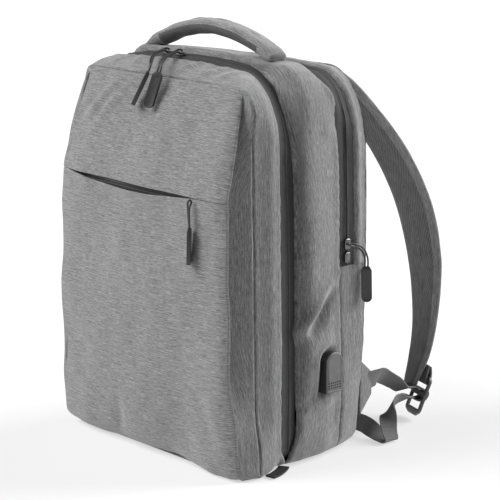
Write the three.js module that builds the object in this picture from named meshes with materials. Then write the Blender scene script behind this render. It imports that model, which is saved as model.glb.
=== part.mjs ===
// A soft day backpack of heather-grey cloth, standing on its base.
// Millimetres. +X is the side that carries the charging port, +Y the wearer's side, +Z up.
// The origin is on the floor under the middle of the base.
import * as THREE from "three";

// Driving dimensions
const HEIGHT = 442; // top of the main compartment
const WALL = 2.4; // cloth with its backing
const GAP = 0.3; // between one piece and the next
const TAPE = 1.2; // zip tape
const TAPE_SINK = 1.2; // how far a tape lies below the cloth beside it
const FLOOR_LIFT = 0.4; // what hangs just clear of the floor
const SLIT = { z: 305, sag: 7, from: -138, to: 106 }; // the pocket's mouth, its lower lip hanging open
const CROSS_SEAM_Z = 215; // where the rear zip ends on each side
const Y_SEAM = -70; // front pocket to front band
const Y_ZIP = [-35, -11]; // main zip
const Y_RISE = -3; // the main compartment swells behind the zip
const Y_CREST = 6; // and is highest here
const Y_MID = 26;
const Y_REAR_ZIP = [46, 68]; // rear zip
const Y_BACK = 87; // back edge of the rear gusset
const PAD = 9; // back padding
const HANDLE = { x: -8, y: 7, span: 100, top: 469, drop: 24, width: 27, thick: 15, end: 0.28 };
const WEBBING = { width: 20, thick: 1.6 };
const BUCKLE_LOOP_WIDTH = 18;
const BUCKLE = { width: 32, height: 46, thick: 3, bar: 6, rail: 2.6, corner: 5, middle: [-1.5, 4.5] };
const STRAP_TAB = { inner: 136.2, outer: 140, root: [35, 100], tip: [61, 86], length: 17.4 };
const PORT = { y: 32, foot: 78, spring: 113, half: 12.5, rise: 11, seat: 154.4, proud: 7.6, chamfer: 2 };
const BASE_TAB = {
  thick: 2.2,
  outline: [[152, -61], [164, -59], [162, -44], [147, -25], [142, -29], [146, -46]],
};
const SLIDER = { length: 12, width: 8, height: 3.4 };
const TAB = { length: 40, width: 11.5, thick: 4 };
const CORD = { radius: 1.1, spread: 1.5 };

const COLOURS = {
  cloth: 0x8d8d8d,
  tape: 0x454545,
  mesh: 0x5a5a5a,
  webbing: 0x6b6b6b,
  plastic: 0x3a3a3a,
  port: 0x666666,
  black: 0x151515,
};

const V = (x, y, z) => new THREE.Vector3(x, y, z);
const lerp = (a, b, t) => a + (b - a) * t;
const named = (columns, rows) =>
  rows.map((row) => Object.fromEntries(columns.map((name, i) => [name, row[i]])));

// Outlines round the bag, front to back. half, shoulder and foot are half widths at mid height, at the top
// and at the base. rx, rz and lx, lz round the top corners on the +X and -X sides, and rf the base corners.
const SECTIONS = named(
  ["y", "half", "shoulder", "foot", "top", "crown", "rx", "rz", "lx", "lz", "rf"],
  [
    [Y_SEAM, 152, 150, 155, 420, 2, 30, 36, 12, 14, 5],
    [-52, 152, 150, 153, 429, 3, 44, 54, 16, 20, 12],
    [Y_ZIP[0], 150, 147, 150, 434, 4, 60, 78, 24, 32, 22],
    [Y_ZIP[1], 150, 147, 150, 438, 4, 72, 96, 32, 42, 18],
    [Y_RISE, 153, 150, 151, 441.5, 4, 58, 76, 36, 46, 18],
    [Y_CREST, 154, 151, 151, HEIGHT, 4, 50, 66, 40, 50, 19],
    [Y_MID, 154, 150, 151, 440, 4, 50, 64, 42, 54, 20],
    [Y_REAR_ZIP[0], 153, 149, 148, 431, 4, 48, 56, 44, 52, 21],
    [Y_REAR_ZIP[1], 152, 151, 145, 430, 3, 60, 84, 42, 48, 24],
    [Y_BACK, 152, 152, 141, 431, 3, 60, 90, 42, 48, 28],
  ],
);
const STEPS = { base: 5, foot: 3, low: 3, high: 4, corner: 5, top: 6 };

// The front panel by height: its edges on the -X and +X sides and how far its middle stands out
const PANEL_COLUMNS = ["z", "xl", "yl", "xr", "yr", "crown"];
const SLIT_ROW = [SLIT.z, -148, -106.5, 148, -112.6, 5];
const PANEL_LOW = named(PANEL_COLUMNS, [
  [FLOOR_LIFT, -138, -93, 146, -89, 0],
  [5, -147, -101, 150, -97, 1],
  [16, -150, -109, 150.5, -101, 3],
  [61, -151, -112, 150, -105, 6],
  [112, -150, -111, 149, -109, 7],
  [195, -149, -109.5, 149, -112, 7],
  [258, -148, -108, 149, -112.6, 6],
  SLIT_ROW,
]);
const PANEL_HIGH = named(PANEL_COLUMNS, [
  SLIT_ROW,
  [335, -147, -100, 145, -104, 5],
  [365, -146, -91, 141, -93, 4],
  [395, -144.5, -81.5, 136, -81.5, 3],
  [419, -141, Y_SEAM - WALL - GAP, 129, Y_SEAM - WALL - GAP, 1],
]);

// The shoulder strap on the +X side, from its sewn top to its free lower end
const STRAP = named(
  ["x", "y", "z", "width", "twist", "thick"],
  [
    [72, Y_BACK + PAD + GAP, 418, 66, 0, 10],
    [73, 113, 404, 66, 0, 12],
    [77, 152, 366, 65, 0, 12],
    [81, 184, 329, 63, 0, 12],
    [84, 209, 291, 62, 0, 12],
    [86, 229, 251, 61, 0, 12],
    [88, 240, 214, 60, 2, 12],
    [92, 244, 177, 56, 4, 12],
    [96, 242, 140, 50, 8, 12],
    [100, 235, 99, 44, 12, 10],
    [103, 224, 69, 40, 15, 8],
    [103, 211.5, 43, 28, 18, 5],
  ],
);

const group = new THREE.Group();
group.name = "backpack";

// A mesh from triangles, turned to face out by the sign of the volume that they enclose
function addSolid(name, colour, triangles, roughness = 0.9) {
  let volume = 0;
  for (const [a, b, c] of triangles) volume += a.dot(b.clone().cross(c)) / 6;
  const out = [];
  for (const [a, b, c] of triangles) {
    const face = volume > 0 ? [a, b, c] : [a, c, b];
    for (const p of face) out.push(p.x, p.y, p.z);
  }
  const geometry = new THREE.BufferGeometry();
  geometry.setAttribute("position", new THREE.Float32BufferAttribute(out, 3));
  const material = new THREE.MeshStandardMaterial({ color: COLOURS[colour], roughness, metalness: 0 });
  const mesh = new THREE.Mesh(geometry, material);
  mesh.name = name;
  group.add(mesh);
}

function quad(list, a, b, c, d) {
  list.push([a, b, c], [a, c, d]);
}

// A wall between two grids of the same size, points[i][j] outside and inside
function wall(outside, inside, closed) {
  const list = [];
  const n = outside.length;
  const m = outside[0].length;
  const last = closed ? n : n - 1;
  for (let i = 0; i < last; i++) {
    const k = (i + 1) % n;
    for (let j = 0; j + 1 < m; j++) {
      quad(list, outside[i][j], outside[k][j], outside[k][j + 1], outside[i][j + 1]);
      quad(list, inside[i][j], inside[i][j + 1], inside[k][j + 1], inside[k][j]);
    }
    quad(list, outside[i][0], inside[i][0], inside[k][0], outside[k][0]);
    quad(list, outside[i][m - 1], outside[k][m - 1], inside[k][m - 1], inside[i][m - 1]);
  }
  if (!closed) {
    for (let j = 0; j + 1 < m; j++) {
      quad(list, outside[0][j], outside[0][j + 1], inside[0][j + 1], inside[0][j]);
      quad(list, outside[n - 1][j], inside[n - 1][j], inside[n - 1][j + 1], outside[n - 1][j + 1]);
    }
  }
  return list;
}

// A solid through a row of closed sections, its two ends filled from their middles
function loft(sections) {
  const list = [];
  const m = sections[0].length;
  for (let i = 0; i + 1 < sections.length; i++)
    for (let j = 0; j < m; j++) {
      const k = (j + 1) % m;
      quad(list, sections[i][j], sections[i + 1][j], sections[i + 1][k], sections[i][k]);
    }
  for (const [section, turned] of [[sections[0], false], [sections.at(-1), true]]) {
    const middle = V(0, 0, 0);
    for (const p of section) middle.addScaledVector(p, 1 / m);
    for (let j = 0; j < m; j++) {
      const a = section[j];
      const b = section[(j + 1) % m];
      list.push(turned ? [middle, b, a] : [middle, a, b]);
    }
  }
  return list;
}

// The two neighbouring rows of a table and a value's share of the way between them
function between(rows, column, value) {
  let i = 0;
  while (i < rows.length - 2 && rows[i + 1][column] < value) i++;
  const a = rows[i];
  const b = rows[i + 1];
  return [a, b, (value - a[column]) / (b[column] - a[column])];
}
function rowAt(rows, column, value) {
  const [a, b, t] = between(rows, column, value);
  const row = {};
  for (const name of Object.keys(a)) row[name] = lerp(a[name], b[name], t);
  return row;
}

// The +X half of a section from its base to its top, each point named by the stretch that it is on
function halfRing(s, sink) {
  const points = [];
  const add = (x, z, part, t) => points.push({ x, z, part, t });
  const foot = s.foot - sink;
  const shoulder = s.shoulder - sink;
  const half = s.half - sink;
  const rf = s.rf - sink;
  const rx = s.rx - sink;
  const rz = s.rz - sink;
  const zCorner = s.top - s.crown - s.rz;
  for (let i = 0; i < STEPS.base; i++) {
    const t = (2 * i + 1) / (2 * STEPS.base + 1);
    add((foot - rf) * t, sink, "base", t);
  }
  for (let i = 0; i <= STEPS.foot; i++) {
    const a = (Math.PI / 2) * (i / STEPS.foot);
    add(foot - rf + rf * Math.sin(a), s.rf - rf * Math.cos(a), "foot", i / STEPS.foot);
  }
  const sideX = (z) => {
    const t = (z - s.rf) / (zCorner - s.rf);
    return lerp(foot, shoulder, t) + 4 * t * (1 - t) * (half - (foot + shoulder) / 2);
  };
  for (let i = 1; i <= STEPS.low; i++) {
    const z = lerp(s.rf, CROSS_SEAM_Z, i / STEPS.low);
    add(sideX(z), z, "low", i / STEPS.low);
  }
  for (let i = 1; i <= STEPS.high; i++) {
    const z = lerp(CROSS_SEAM_Z, zCorner, i / STEPS.high);
    add(sideX(z), z, "high", i / STEPS.high);
  }
  for (let i = 1; i <= STEPS.corner; i++) {
    const a = (Math.PI / 2) * (i / STEPS.corner);
    add(shoulder - rx + rx * Math.cos(a), zCorner + rz * Math.sin(a), "corner", i / STEPS.corner);
  }
  for (let i = 1; i < STEPS.top; i++) {
    const t = i / STEPS.top;
    add((shoulder - rx) * (1 - t), s.top - sink - s.crown * (1 - t) ** 2, "top", t);
  }
  return points;
}

// All the way round, from the base's middle up the +X side, over the top and down the other side
function fullRing(s, sink) {
  const right = halfRing(s, sink);
  const middle = { x: 0, z: s.top - sink, part: "top", t: 1 };
  const left = halfRing({ ...s, rx: s.lx, rz: s.lz }, sink).map((p) => ({ ...p, x: -p.x }));
  return [...right, middle, ...left.reverse()];
}

// A strip of cloth round the bag. depths gives the strip's y values at a point of the ring.
function strip(thick, sink, depths, keep) {
  const template = fullRing(SECTIONS[0], 0);
  const chosen = template.map((p, i) => i).filter((i) => !keep || keep(template[i]));
  const rows = (depth) =>
    chosen.map((i) =>
      depths(template[i]).map((y) => {
        const p = fullRing(rowAt(SECTIONS, "y", y), sink + depth)[i];
        return V(p.x, y, p.z);
      }),
    );
  return { outside: rows(0), inside: rows(thick), closed: !keep };
}
function addStrip(name, colour, s) {
  addSolid(name, colour, wall(s.outside, s.inside, s.closed));
}

// A strip's two ends moved up or down by a small gap
function liftEnds(s, dz) {
  for (const rows of [s.outside, s.inside])
    for (const end of [rows[0], rows.at(-1)]) for (const p of end) p.z += dz;
  return s;
}

// How much of the closed base a point belongs to: 1 on the base, 0 where the zip runs
const baseShare = (p) => (p.part === "base" ? 1 : p.part === "foot" ? 1 - p.t : 0);
const onZip = (p) => baseShare(p) === 0;
const atSeam = (p) => p.part === "low" && p.t === 1;
const belowSeam = (p) => p.part === "base" || p.part === "foot" || p.part === "low";
const aboveSeam = (p) => !belowSeam(p) || atSeam(p);

// Front band, main gusset and the zip tape between them, which ends where the base closes
const zipMiddle = (Y_ZIP[0] + Y_ZIP[1]) / 2;
const bandEnd = (p) => lerp(Y_ZIP[0] - GAP / 2, zipMiddle - GAP / 2, baseShare(p));
const mainStart = (p) => lerp(Y_ZIP[1] + GAP / 2, zipMiddle + GAP / 2, baseShare(p));
const bandDepths = (p) => [Y_SEAM, lerp(Y_SEAM, bandEnd(p), 0.5), bandEnd(p)];
const mainDepths = (p) => [mainStart(p), Y_RISE, Y_CREST, Y_MID, Y_REAR_ZIP[0] - GAP / 2];
const zipDepths = () => [Y_ZIP[0] + GAP / 2, Y_ZIP[1] - GAP / 2];
addStrip("front_band", "cloth", strip(WALL, 0, bandDepths));
addStrip("main_gusset", "cloth", strip(WALL, 0, mainDepths));
addStrip("main_zip_tape", "tape", liftEnds(strip(TAPE, TAPE_SINK, zipDepths, onZip), GAP * 1.5));

// Rear gusset: a zip over the top half, plain cloth below the cross seam
const rearZipDepths = () => [Y_REAR_ZIP[0] + GAP / 2, Y_REAR_ZIP[1] - GAP / 2];
const rearUpperDepths = () => [Y_REAR_ZIP[1] + GAP / 2, Y_BACK];
const rearLowerDepths = () => [Y_REAR_ZIP[0] + GAP / 2, Y_REAR_ZIP[1], Y_BACK];
addStrip("rear_zip_tape", "tape", liftEnds(strip(TAPE, TAPE_SINK, rearZipDepths, aboveSeam), GAP / 2));
addStrip("rear_gusset_upper", "cloth", liftEnds(strip(WALL, 0, rearUpperDepths, aboveSeam), GAP / 2));

// The lower strip's points run up the +X side and then down the other, so they start again at the far seam.
function rearLower() {
  const s = strip(WALL, 0, rearLowerDepths, belowSeam);
  const cut = s.outside.length / 2;
  const turn = (rows) => [...rows.slice(cut), ...rows.slice(0, cut)];
  return { ...s, outside: turn(s.outside), inside: turn(s.inside) };
}
addStrip("rear_gusset_lower", "cloth", liftEnds(rearLower(), -GAP / 2));

// The padded back, a plate with a soft rounded rim
function backPanel() {
  const rim = named(
    ["y", "inset"],
    [
      [Y_BACK + GAP, 0],
      [Y_BACK + PAD * 0.5, 0],
      [Y_BACK + PAD * 0.84, 3],
      [Y_BACK + PAD, 12],
    ],
  );
  const outline = rowAt(SECTIONS, "y", Y_BACK);
  return loft(rim.map((r) => fullRing(outline, r.inset).map((p) => V(p.x, r.y, p.z))));
}
addSolid("back_panel", "mesh", backPanel());

// The front panel, in two pieces that meet at the pocket's mouth
const slitSag = (x) => {
  const t = (x - SLIT.from) / (SLIT.to - SLIT.from);
  return t <= 0 || t >= 1 ? 0 : SLIT.sag * Math.sin(Math.PI * t) ** 1.2;
};
function panelPoint(table, u, z, behind, lip = 0) {
  const row = rowAt(table, "z", z);
  const x = lerp(row.xl, row.xr, u);
  const y = lerp(row.yl, row.yr, u) - row.crown * Math.sin(Math.PI * u) ** 0.8 + behind;
  return V(x, y, z - slitSag(x) * lip);
}
function panel(table, heights, sagsAt) {
  const across = 12;
  const grid = (behind) =>
    Array.from({ length: across + 1 }, (_, i) =>
      heights.map((z) => panelPoint(table, i / across, z, behind, z === sagsAt ? 1 : 0)),
    );
  return wall(grid(0), grid(WALL), false);
}
const lipZ = SLIT.z - GAP;
const lowHeights = [...PANEL_LOW.slice(0, -1).map((row) => row.z), lipZ];
const highHeights = [SLIT.z, 320, ...PANEL_HIGH.slice(1).map((row) => row.z)];
addSolid("front_panel_lower", "cloth", panel(PANEL_LOW, lowHeights, lipZ));
addSolid("front_panel_upper", "cloth", panel(PANEL_HIGH, highHeights));

// Tape behind the pocket's mouth
function pocketTape() {
  const steps = 8;
  const heights = [SLIT.z - 20, SLIT.z - 6, SLIT.z + 8];
  const seat = WALL + GAP + 0.8;
  const grid = (behind) =>
    Array.from({ length: steps + 1 }, (_, i) =>
      heights.map((z) =>
        panelPoint(z < SLIT.z ? PANEL_LOW : PANEL_HIGH, lerp(0.04, 0.87, i / steps), z, seat + behind),
      ),
    );
  return wall(grid(0), grid(TAPE), false);
}
addSolid("pocket_zip_tape", "tape", pocketTape());

// Side and base of the front pocket, drawn in between the panel and the seam behind it
function pocketGusset() {
  const heights = [415, 405, 390, 365, 335, 305, 258, 195, 112, 61, 30, 14];
  const cornerZ = 4;
  const back = Y_SEAM - GAP;
  const behind = WALL + GAP;
  const ring = halfRing(rowAt(SECTIONS, "y", Y_SEAM), 0).filter((p) => p.part !== "top" && p.part !== "base");
  const panelEdge = (z, sign) => {
    const row = rowAt(z > SLIT.z ? PANEL_HIGH : PANEL_LOW, "z", z);
    return sign > 0 ? V(row.xr, row.yr + behind, z) : V(row.xl, row.yl + behind, z);
  };
  const seamEdge = (z, sign) => {
    const [a, b, t] = between(ring, "z", z);
    return V(sign * lerp(a.x, b.x, t), back, z);
  };
  const outside = [];
  const inside = [];
  const push = (front, rear, inward, dip) => {
    const row = [0, 0.3, 0.65, 1].map((t) =>
      front.clone().lerp(rear, t).addScaledVector(inward, dip * Math.sin(Math.PI * t)),
    );
    outside.push(row);
    inside.push(row.map((p) => p.clone().addScaledVector(inward, WALL)));
  };
  // The side bulges a little at the base and is drawn in higher up.
  const side = (z, sign) => {
    const front = panelEdge(z, sign);
    const share = lerp(-0.12, 0.17, THREE.MathUtils.clamp((z - 15) / 90, 0, 1));
    const dip = (back - front.y) * share;
    front.x -= sign * 0.5;
    push(front, seamEdge(z, sign), V(-sign, 0, 0), dip);
  };
  const corner = (sign) => {
    const front = panelEdge(cornerZ, sign);
    front.y += FLOOR_LIFT;
    push(front, seamEdge(cornerZ, sign), V(-sign * 0.8, 0, 0.6), -2.5);
  };
  for (const z of heights) side(z, 1);
  corner(1);
  const foot = PANEL_LOW[0];
  for (const x of [144, 90, 30, -30, -90, -136]) {
    const u = (x - foot.xl) / (foot.xr - foot.xl);
    const front = panelPoint(PANEL_LOW, u, foot.z, behind + FLOOR_LIFT);
    push(V(x, front.y, 0), V(x, back, 0), V(0, 0, 1), 0);
  }
  corner(-1);
  for (const z of heights.toReversed()) side(z, -1);
  return wall(outside, inside, false);
}
addSolid("front_pocket_gusset", "cloth", pocketGusset());

// A padded section of its own width and thickness, its edges rounded
function slab(centre, wide, normal, width, thick, edge) {
  const w = width / 2;
  const t = thick / 2;
  const r = Math.min(t, width * 0.12);
  const shape = [
    [w, -t * edge],
    [w, t * edge],
    [w - r, t * 0.92],
    [0, t],
    [r - w, t * 0.92],
    [-w, t * edge],
    [-w, -t * edge],
    [r - w, -t * 0.92],
    [0, -t],
    [w - r, -t * 0.92],
  ];
  return shape.map(([a, b]) => centre.clone().addScaledVector(wide, a).addScaledVector(normal, b));
}

// Flat webbing along a path of keys, each with its place and the way its width lies
function ribbon(keys, width, thick, count) {
  const path = new THREE.CatmullRomCurve3(keys.map((k) => k.at), false, "centripetal");
  const wide = new THREE.CatmullRomCurve3(keys.map((k) => k.wide.clone().normalize()), false, "centripetal");
  const sections = Array.from({ length: count + 1 }, (_, i) => {
    const t = i / count;
    const along = path.getTangent(t);
    const w = wide.getPoint(t);
    w.addScaledVector(along, -w.dot(along)).normalize();
    const n = along.clone().cross(w);
    const c = path.getPoint(t);
    const corner = (a, b) =>
      c.clone().addScaledVector(w, (a * width) / 2).addScaledVector(n, (b * thick) / 2);
    return [corner(1, -1), corner(1, 1), corner(-1, 1), corner(-1, -1)];
  });
  return loft(sections);
}

// Carry handle, a padded bar that thins to its sewn ends on the top of the main compartment
function handle() {
  const half = [0.25, 0.5, 0.7, 0.85, 0.95, 1.03, 1.1];
  const stops = [...half.toReversed().map((t) => -t), 0, ...half];
  const zOf = (t) => HANDLE.top - HANDLE.drop * Math.abs(t) ** 1.9;
  const step = 0.01;
  return loft(
    stops.map((t) => {
      const slope = (zOf(t + step) - zOf(t - step)) / (2 * step * HANDLE.span);
      const thinning = Math.max(0, Math.abs(t) - 0.9) / 0.2;
      const thick = HANDLE.thick * lerp(1, HANDLE.end, thinning);
      const centre = V(HANDLE.x + HANDLE.span * t, HANDLE.y, zOf(t));
      return slab(centre, V(0, 1, 0), V(-slope, 0, 1).normalize(), HANDLE.width, thick, 0.6);
    }),
  );
}
addSolid("carry_handle", "cloth", handle());

// Shoulder strap, a padded band that bows out from the back
function shoulderStrap() {
  const path = new THREE.CatmullRomCurve3(STRAP.map((r) => V(r.x, r.y, r.z)), false, "centripetal");
  const count = 20;
  const sections = Array.from({ length: count + 1 }, (_, i) => {
    const t = i / count;
    const f = t * (STRAP.length - 1);
    const k = Math.min(STRAP.length - 2, Math.floor(f));
    const pick = (column) => lerp(STRAP[k][column], STRAP[k + 1][column], f - k);
    const twist = THREE.MathUtils.degToRad(pick("twist"));
    const along = i === 0 ? V(0, 1, 0) : path.getTangent(t);
    const wide = V(Math.cos(twist), -Math.sin(twist), 0);
    wide.addScaledVector(along, -wide.dot(along)).normalize();
    return slab(path.getPoint(t), wide, along.clone().cross(wide), pick("width"), pick("thick"), 0.3);
  });
  return loft(sections);
}

// Ladder buckle at the strap's end, in a frame of its own: across, up and out of its plate
const B_AT = V(114, 214, 28.5);
const B_WIDE = V(Math.cos(0.3), -Math.sin(0.3), 0);
const B_LEAN = V(0, 0.4, 0.92);
const B_UP = B_LEAN.clone().addScaledVector(B_WIDE, -B_LEAN.dot(B_WIDE)).normalize();
const B_OUT = B_UP.clone().cross(B_WIDE);
const inBuckle = (wide, up, out) =>
  B_AT.clone().addScaledVector(B_WIDE, wide).addScaledVector(B_UP, up).addScaledVector(B_OUT, out);
function buckle() {
  const w = BUCKLE.width / 2;
  const h = BUCKLE.height / 2;
  const r = BUCKLE.corner;
  const shape = new THREE.Shape();
  shape.moveTo(-w + r, -h).lineTo(w - r, -h).lineTo(w, -h + r).lineTo(w, h - r);
  shape.lineTo(w - r, h).lineTo(-w + r, h).lineTo(-w, h - r).lineTo(-w, -h + r);
  const slot = (low, high) => {
    const hole = new THREE.Path();
    const s = w - BUCKLE.rail;
    hole.moveTo(-s, low).lineTo(-s, high).lineTo(s, high).lineTo(s, low);
    shape.holes.push(hole);
  };
  slot(-h + BUCKLE.bar, BUCKLE.middle[0]);
  slot(BUCKLE.middle[1], h - BUCKLE.bar);
  const plate = new THREE.ExtrudeGeometry(shape, { depth: BUCKLE.thick, bevelEnabled: false, steps: 1 });
  const p = plate.attributes.position;
  const corner = (i) => inBuckle(p.getX(i), p.getY(i), p.getZ(i) - BUCKLE.thick / 2);
  return Array.from({ length: p.count / 3 }, (_, i) => [corner(3 * i), corner(3 * i + 1), corner(3 * i + 2)]);
}

// Short loop that sews the buckle's upper bar to the strap
const key = (at, wide) => ({ at, wide });
function buckleLoop() {
  const places = named(
    ["up", "out"],
    [
      [36, -5],
      [27, -3.9],
      [19, -3],
      [15.2, -2.1],
      [14, 0],
      [15.2, 2.1],
      [19, 2.9],
      [27, 1.4],
      [35, -2.4],
    ],
  );
  const keys = places.map((p) => key(inBuckle(0, p.up, p.out), B_WIDE));
  return ribbon(keys, BUCKLE_LOOP_WIDTH, WEBBING.thick, 20);
}

// Adjusting webbing: out of its sewn tab, round the buckle's middle bar, and its free end down to the floor
const WEBBING_KEYS = [
  key(V(141.4, 100, 73), V(0, 0, 1)),
  key(V(141.4, 115, 74), V(0, 0, 1)),
  key(V(138, 125, 74), V(0.05, 0.1, 1)),
  key(V(129, 142, 66), V(0.2, 0.2, 0.9)),
  key(V(121, 166, 53), V(0.45, 0.1, 0.8)),
  key(V(115, 186, 40), V(0.8, -0.2, 0.45)),
  key(inBuckle(0, 6.6, -12), B_WIDE),
  key(inBuckle(0, 7, -1), B_WIDE),
  key(inBuckle(0, 6, 5.5), B_WIDE),
  key(inBuckle(0, 1.5, 7), B_WIDE),
  key(inBuckle(0, -4.5, 5), B_WIDE),
  key(inBuckle(0, -7, -1), B_WIDE),
  key(inBuckle(0, -7, -12), B_WIDE),
  key(V(121, 180, 29), V(0.8, -0.3, 0.4)),
  key(V(131, 157, 34), V(0.4, 0, 0.9)),
  key(V(142, 137, 33), V(0.35, 0.35, 0.8)),
  key(V(150, 127, 24), V(0.25, 0.85, 0.4)),
  key(V(157, 122.5, 11), V(0.1, 1, 0.05)),
  key(V(161, 121.5, 4), V(0, 1, 0)),
  key(V(158, 121, 1.5), V(0, 1, 0)),
  key(V(148, 120.5, 2.8), V(0, 1, 0.1)),
  key(V(136, 119, 8), V(0.1, 0.9, 0.45)),
  key(V(122, 117, 13.5), V(0.1, 0.35, 0.9)),
  key(V(104, 115, 14.5), V(0, 0.1, 1)),
  key(V(86, 114, 14), V(0, 0, 1)),
];

// Triangular cloth tab at the foot of the back that holds the webbing
function strapTab() {
  const root = Y_BACK + PAD + 2 * GAP;
  const tip = root + STRAP_TAB.length;
  const outline = [
    [STRAP_TAB.root[0], root],
    [STRAP_TAB.root[1], root],
    [STRAP_TAB.tip[1], tip],
    [STRAP_TAB.tip[0], tip],
  ];
  return loft([STRAP_TAB.inner, STRAP_TAB.outer].map((x) => outline.map(([z, y]) => V(x, y, z))));
}

const mirror = (list) => list.map((t) => t.map((p) => V(-p.x, p.y, p.z)));
for (const [side, turn] of [["right", (list) => list], ["left", mirror]]) {
  addSolid("shoulder_strap_" + side, "mesh", turn(shoulderStrap()));
  addSolid("strap_tab_" + side, "cloth", turn(strapTab()));
  addSolid("webbing_" + side, "webbing", turn(ribbon(WEBBING_KEYS, WEBBING.width, WEBBING.thick, 52)));
  addSolid("buckle_" + side, "plastic", turn(buckle()), 0.5);
  addSolid("buckle_loop_" + side, "webbing", turn(buckleLoop()));
}

// Charging port on the +X side, with an arched top and a chamfered face
function port() {
  const arch = Array.from({ length: 7 }, (_, i) => {
    const a = (Math.PI * i) / 6;
    return [PORT.half * Math.cos(a), PORT.spring + PORT.rise * Math.sin(a)];
  });
  const outline = [[-PORT.half, PORT.foot], [PORT.half, PORT.foot], ...arch];
  const middle = (PORT.foot + PORT.spring + PORT.rise) / 2;
  const ring = (x, shrink) => outline.map(([y, z]) => V(x, PORT.y + y * shrink, lerp(middle, z, shrink)));
  const face = PORT.seat + PORT.proud;
  return loft([ring(PORT.seat, 1), ring(face, 1), ring(face + PORT.chamfer, 0.92)]);
}
addSolid("usb_port", "port", port(), 0.5);

// Black tab that lies on the floor at the lower end of the main zip
function baseTab() {
  const levels = [FLOOR_LIFT, FLOOR_LIFT + BASE_TAB.thick];
  return loft(levels.map((z) => BASE_TAB.outline.map(([x, y]) => V(x, y, z))));
}
addSolid("base_tab", "black", baseTab(), 0.6);

// A zip slider. up stands off the zip, along runs with it.
function slider(at, along, up) {
  const across = up.clone().cross(along);
  const l = SLIDER.length / 2;
  const w = SLIDER.width / 2;
  const nose = [[-l, -0.65 * w], [-l / 2, -w], [0.7 * l, -w], [l, -w / 2]];
  const outline = [...nose, ...nose.toReversed().map(([a, b]) => [a, -b])];
  const layers = named(["height", "scale"], [[0, 1], [SLIDER.height * 0.65, 1], [SLIDER.height, 0.7]]);
  const corner = (a, b, c) =>
    at.clone().addScaledVector(along, a).addScaledVector(across, b).addScaledVector(up, c);
  return loft(layers.map((y) => outline.map(([a, b]) => corner(a * y.scale, b * y.scale, y.height))));
}

// A thin round cord along a row of points, its sections closer where the points are
function cord(points) {
  const sides = 6;
  const path = new THREE.CatmullRomCurve3(points, false, "centripetal");
  const count = (points.length - 1) * 4;
  const normal = V(0.6, 0.48, 0.64);
  const sections = Array.from({ length: count + 1 }, (_, i) => {
    const c = path.getPoint(i / count);
    const along = path.getTangent(i / count);
    normal.addScaledVector(along, -normal.dot(along)).normalize();
    const binormal = along.clone().cross(normal);
    return Array.from({ length: sides }, (_, k) => {
      const a = (2 * Math.PI * k) / sides;
      return c
        .clone()
        .addScaledVector(normal, CORD.radius * Math.cos(a))
        .addScaledVector(binormal, CORD.radius * Math.sin(a));
    });
  });
  return loft(sections);
}

// A pull's cord: two legs that lie along the zip at the slider and across the tab at its top, and a round
// turn that joins them at the slider
function pullCord(bail, along, way, end, across) {
  const sideways = across.dot(along) < 0 ? across.clone().negate() : across;
  const line = [...way, end];
  const leg = (sign) =>
    line.map((point, i) => {
      const before = line[i - 1] ?? bail;
      const after = line[i + 1] ?? point;
      const run = after.clone().sub(before).normalize();
      const side = along.clone().lerp(sideways, (i + 1) / line.length);
      side.addScaledVector(run, -side.dot(run)).normalize();
      return point.clone().addScaledVector(side, sign * CORD.spread);
    });
  const away = bail.clone().sub(way[0]).normalize().multiplyScalar(CORD.spread);
  const shoulder = (sign) => bail.clone().addScaledVector(along, sign * CORD.spread);
  return cord([...leg(1).reverse(), shoulder(1), bail.clone().add(away), shoulder(-1), ...leg(-1)]);
}

// A pull tab, flat with round ends and eased edges, hanging down from its top
function pullTab(top, down, face) {
  const across = face.clone().cross(down).normalize();
  const w = TAB.width / 2;
  const t = TAB.thick / 2;
  const middle = TAB.length / 2;
  const outline = [];
  for (const [end, sign] of [[w, -1], [TAB.length - w, 1]])
    for (let i = 0; i <= 4; i++) {
      const a = -Math.PI / 2 + (Math.PI * i) / 4;
      outline.push([end + sign * w * Math.cos(a), sign * w * Math.sin(a)]);
    }
  const at = (d, s, f) =>
    top.clone().addScaledVector(down, d).addScaledVector(across, s).addScaledVector(face, f);
  const layers = named(["out", "scale"], [[-t, 0.88], [-t / 2, 1], [t / 2, 1], [t, 0.88]]);
  return loft(layers.map((y) => outline.map(([d, s]) => at(lerp(middle, d, y.scale), s * y.scale, y.out))));
}

// Each pull: its slider, the cord's way to the tab, and the tab's top, hang and face
const ALONG_TOP = V(1, 0, 0);
const OFF_TOP = V(0, -0.165, 1);
const PULLS = [
  {
    name: "top_1",
    slider: V(-54, -23, 434.7),
    along: ALONG_TOP,
    up: OFF_TOP,
    way: [V(-53, -31, 440), V(-43, -50, 438.6), V(-28, -67, 435), V(-14, -79.5, 430.5)],
    tab: V(-14, -83, 423.5),
    hang: V(-13.5, -12, -37),
    face: V(0.66, 0.75, 0),
  },
  {
    name: "top_2",
    slider: V(-31, -23, 435.2),
    along: ALONG_TOP,
    up: OFF_TOP,
    way: [V(-30, -31, 440.4), V(-21, -50, 438.8), V(-8, -68, 435), V(2.5, -79, 431.5)],
    tab: V(3, -82, 425),
    hang: V(-5, -11, -36),
    face: V(0.5, -0.8, 0.32),
  },
  {
    name: "side",
    slider: V(152.2, 57, 239.5),
    along: V(0, 0, 1),
    up: V(1, 0, 0),
    way: [V(158, 66, 237), V(159.5, 74, 232), V(159.5, 80, 222)],
    tab: V(158, 82, 211),
    hang: V(0, 0.03, -1),
    face: V(0.76, -0.65, 0),
  },
  {
    name: "pocket",
    slider: V(100.5, -115, 302),
    along: ALONG_TOP,
    up: V(0, -1, 0),
    way: [V(100.5, -121.5, 296), V(101, -122, 288), V(101.2, -121.8, 280)],
    tab: V(101.2, -121.4, 274.5),
    hang: V(-0.05, 0, -1),
    face: V(0.66, 0.75, 0),
  },
];
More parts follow.
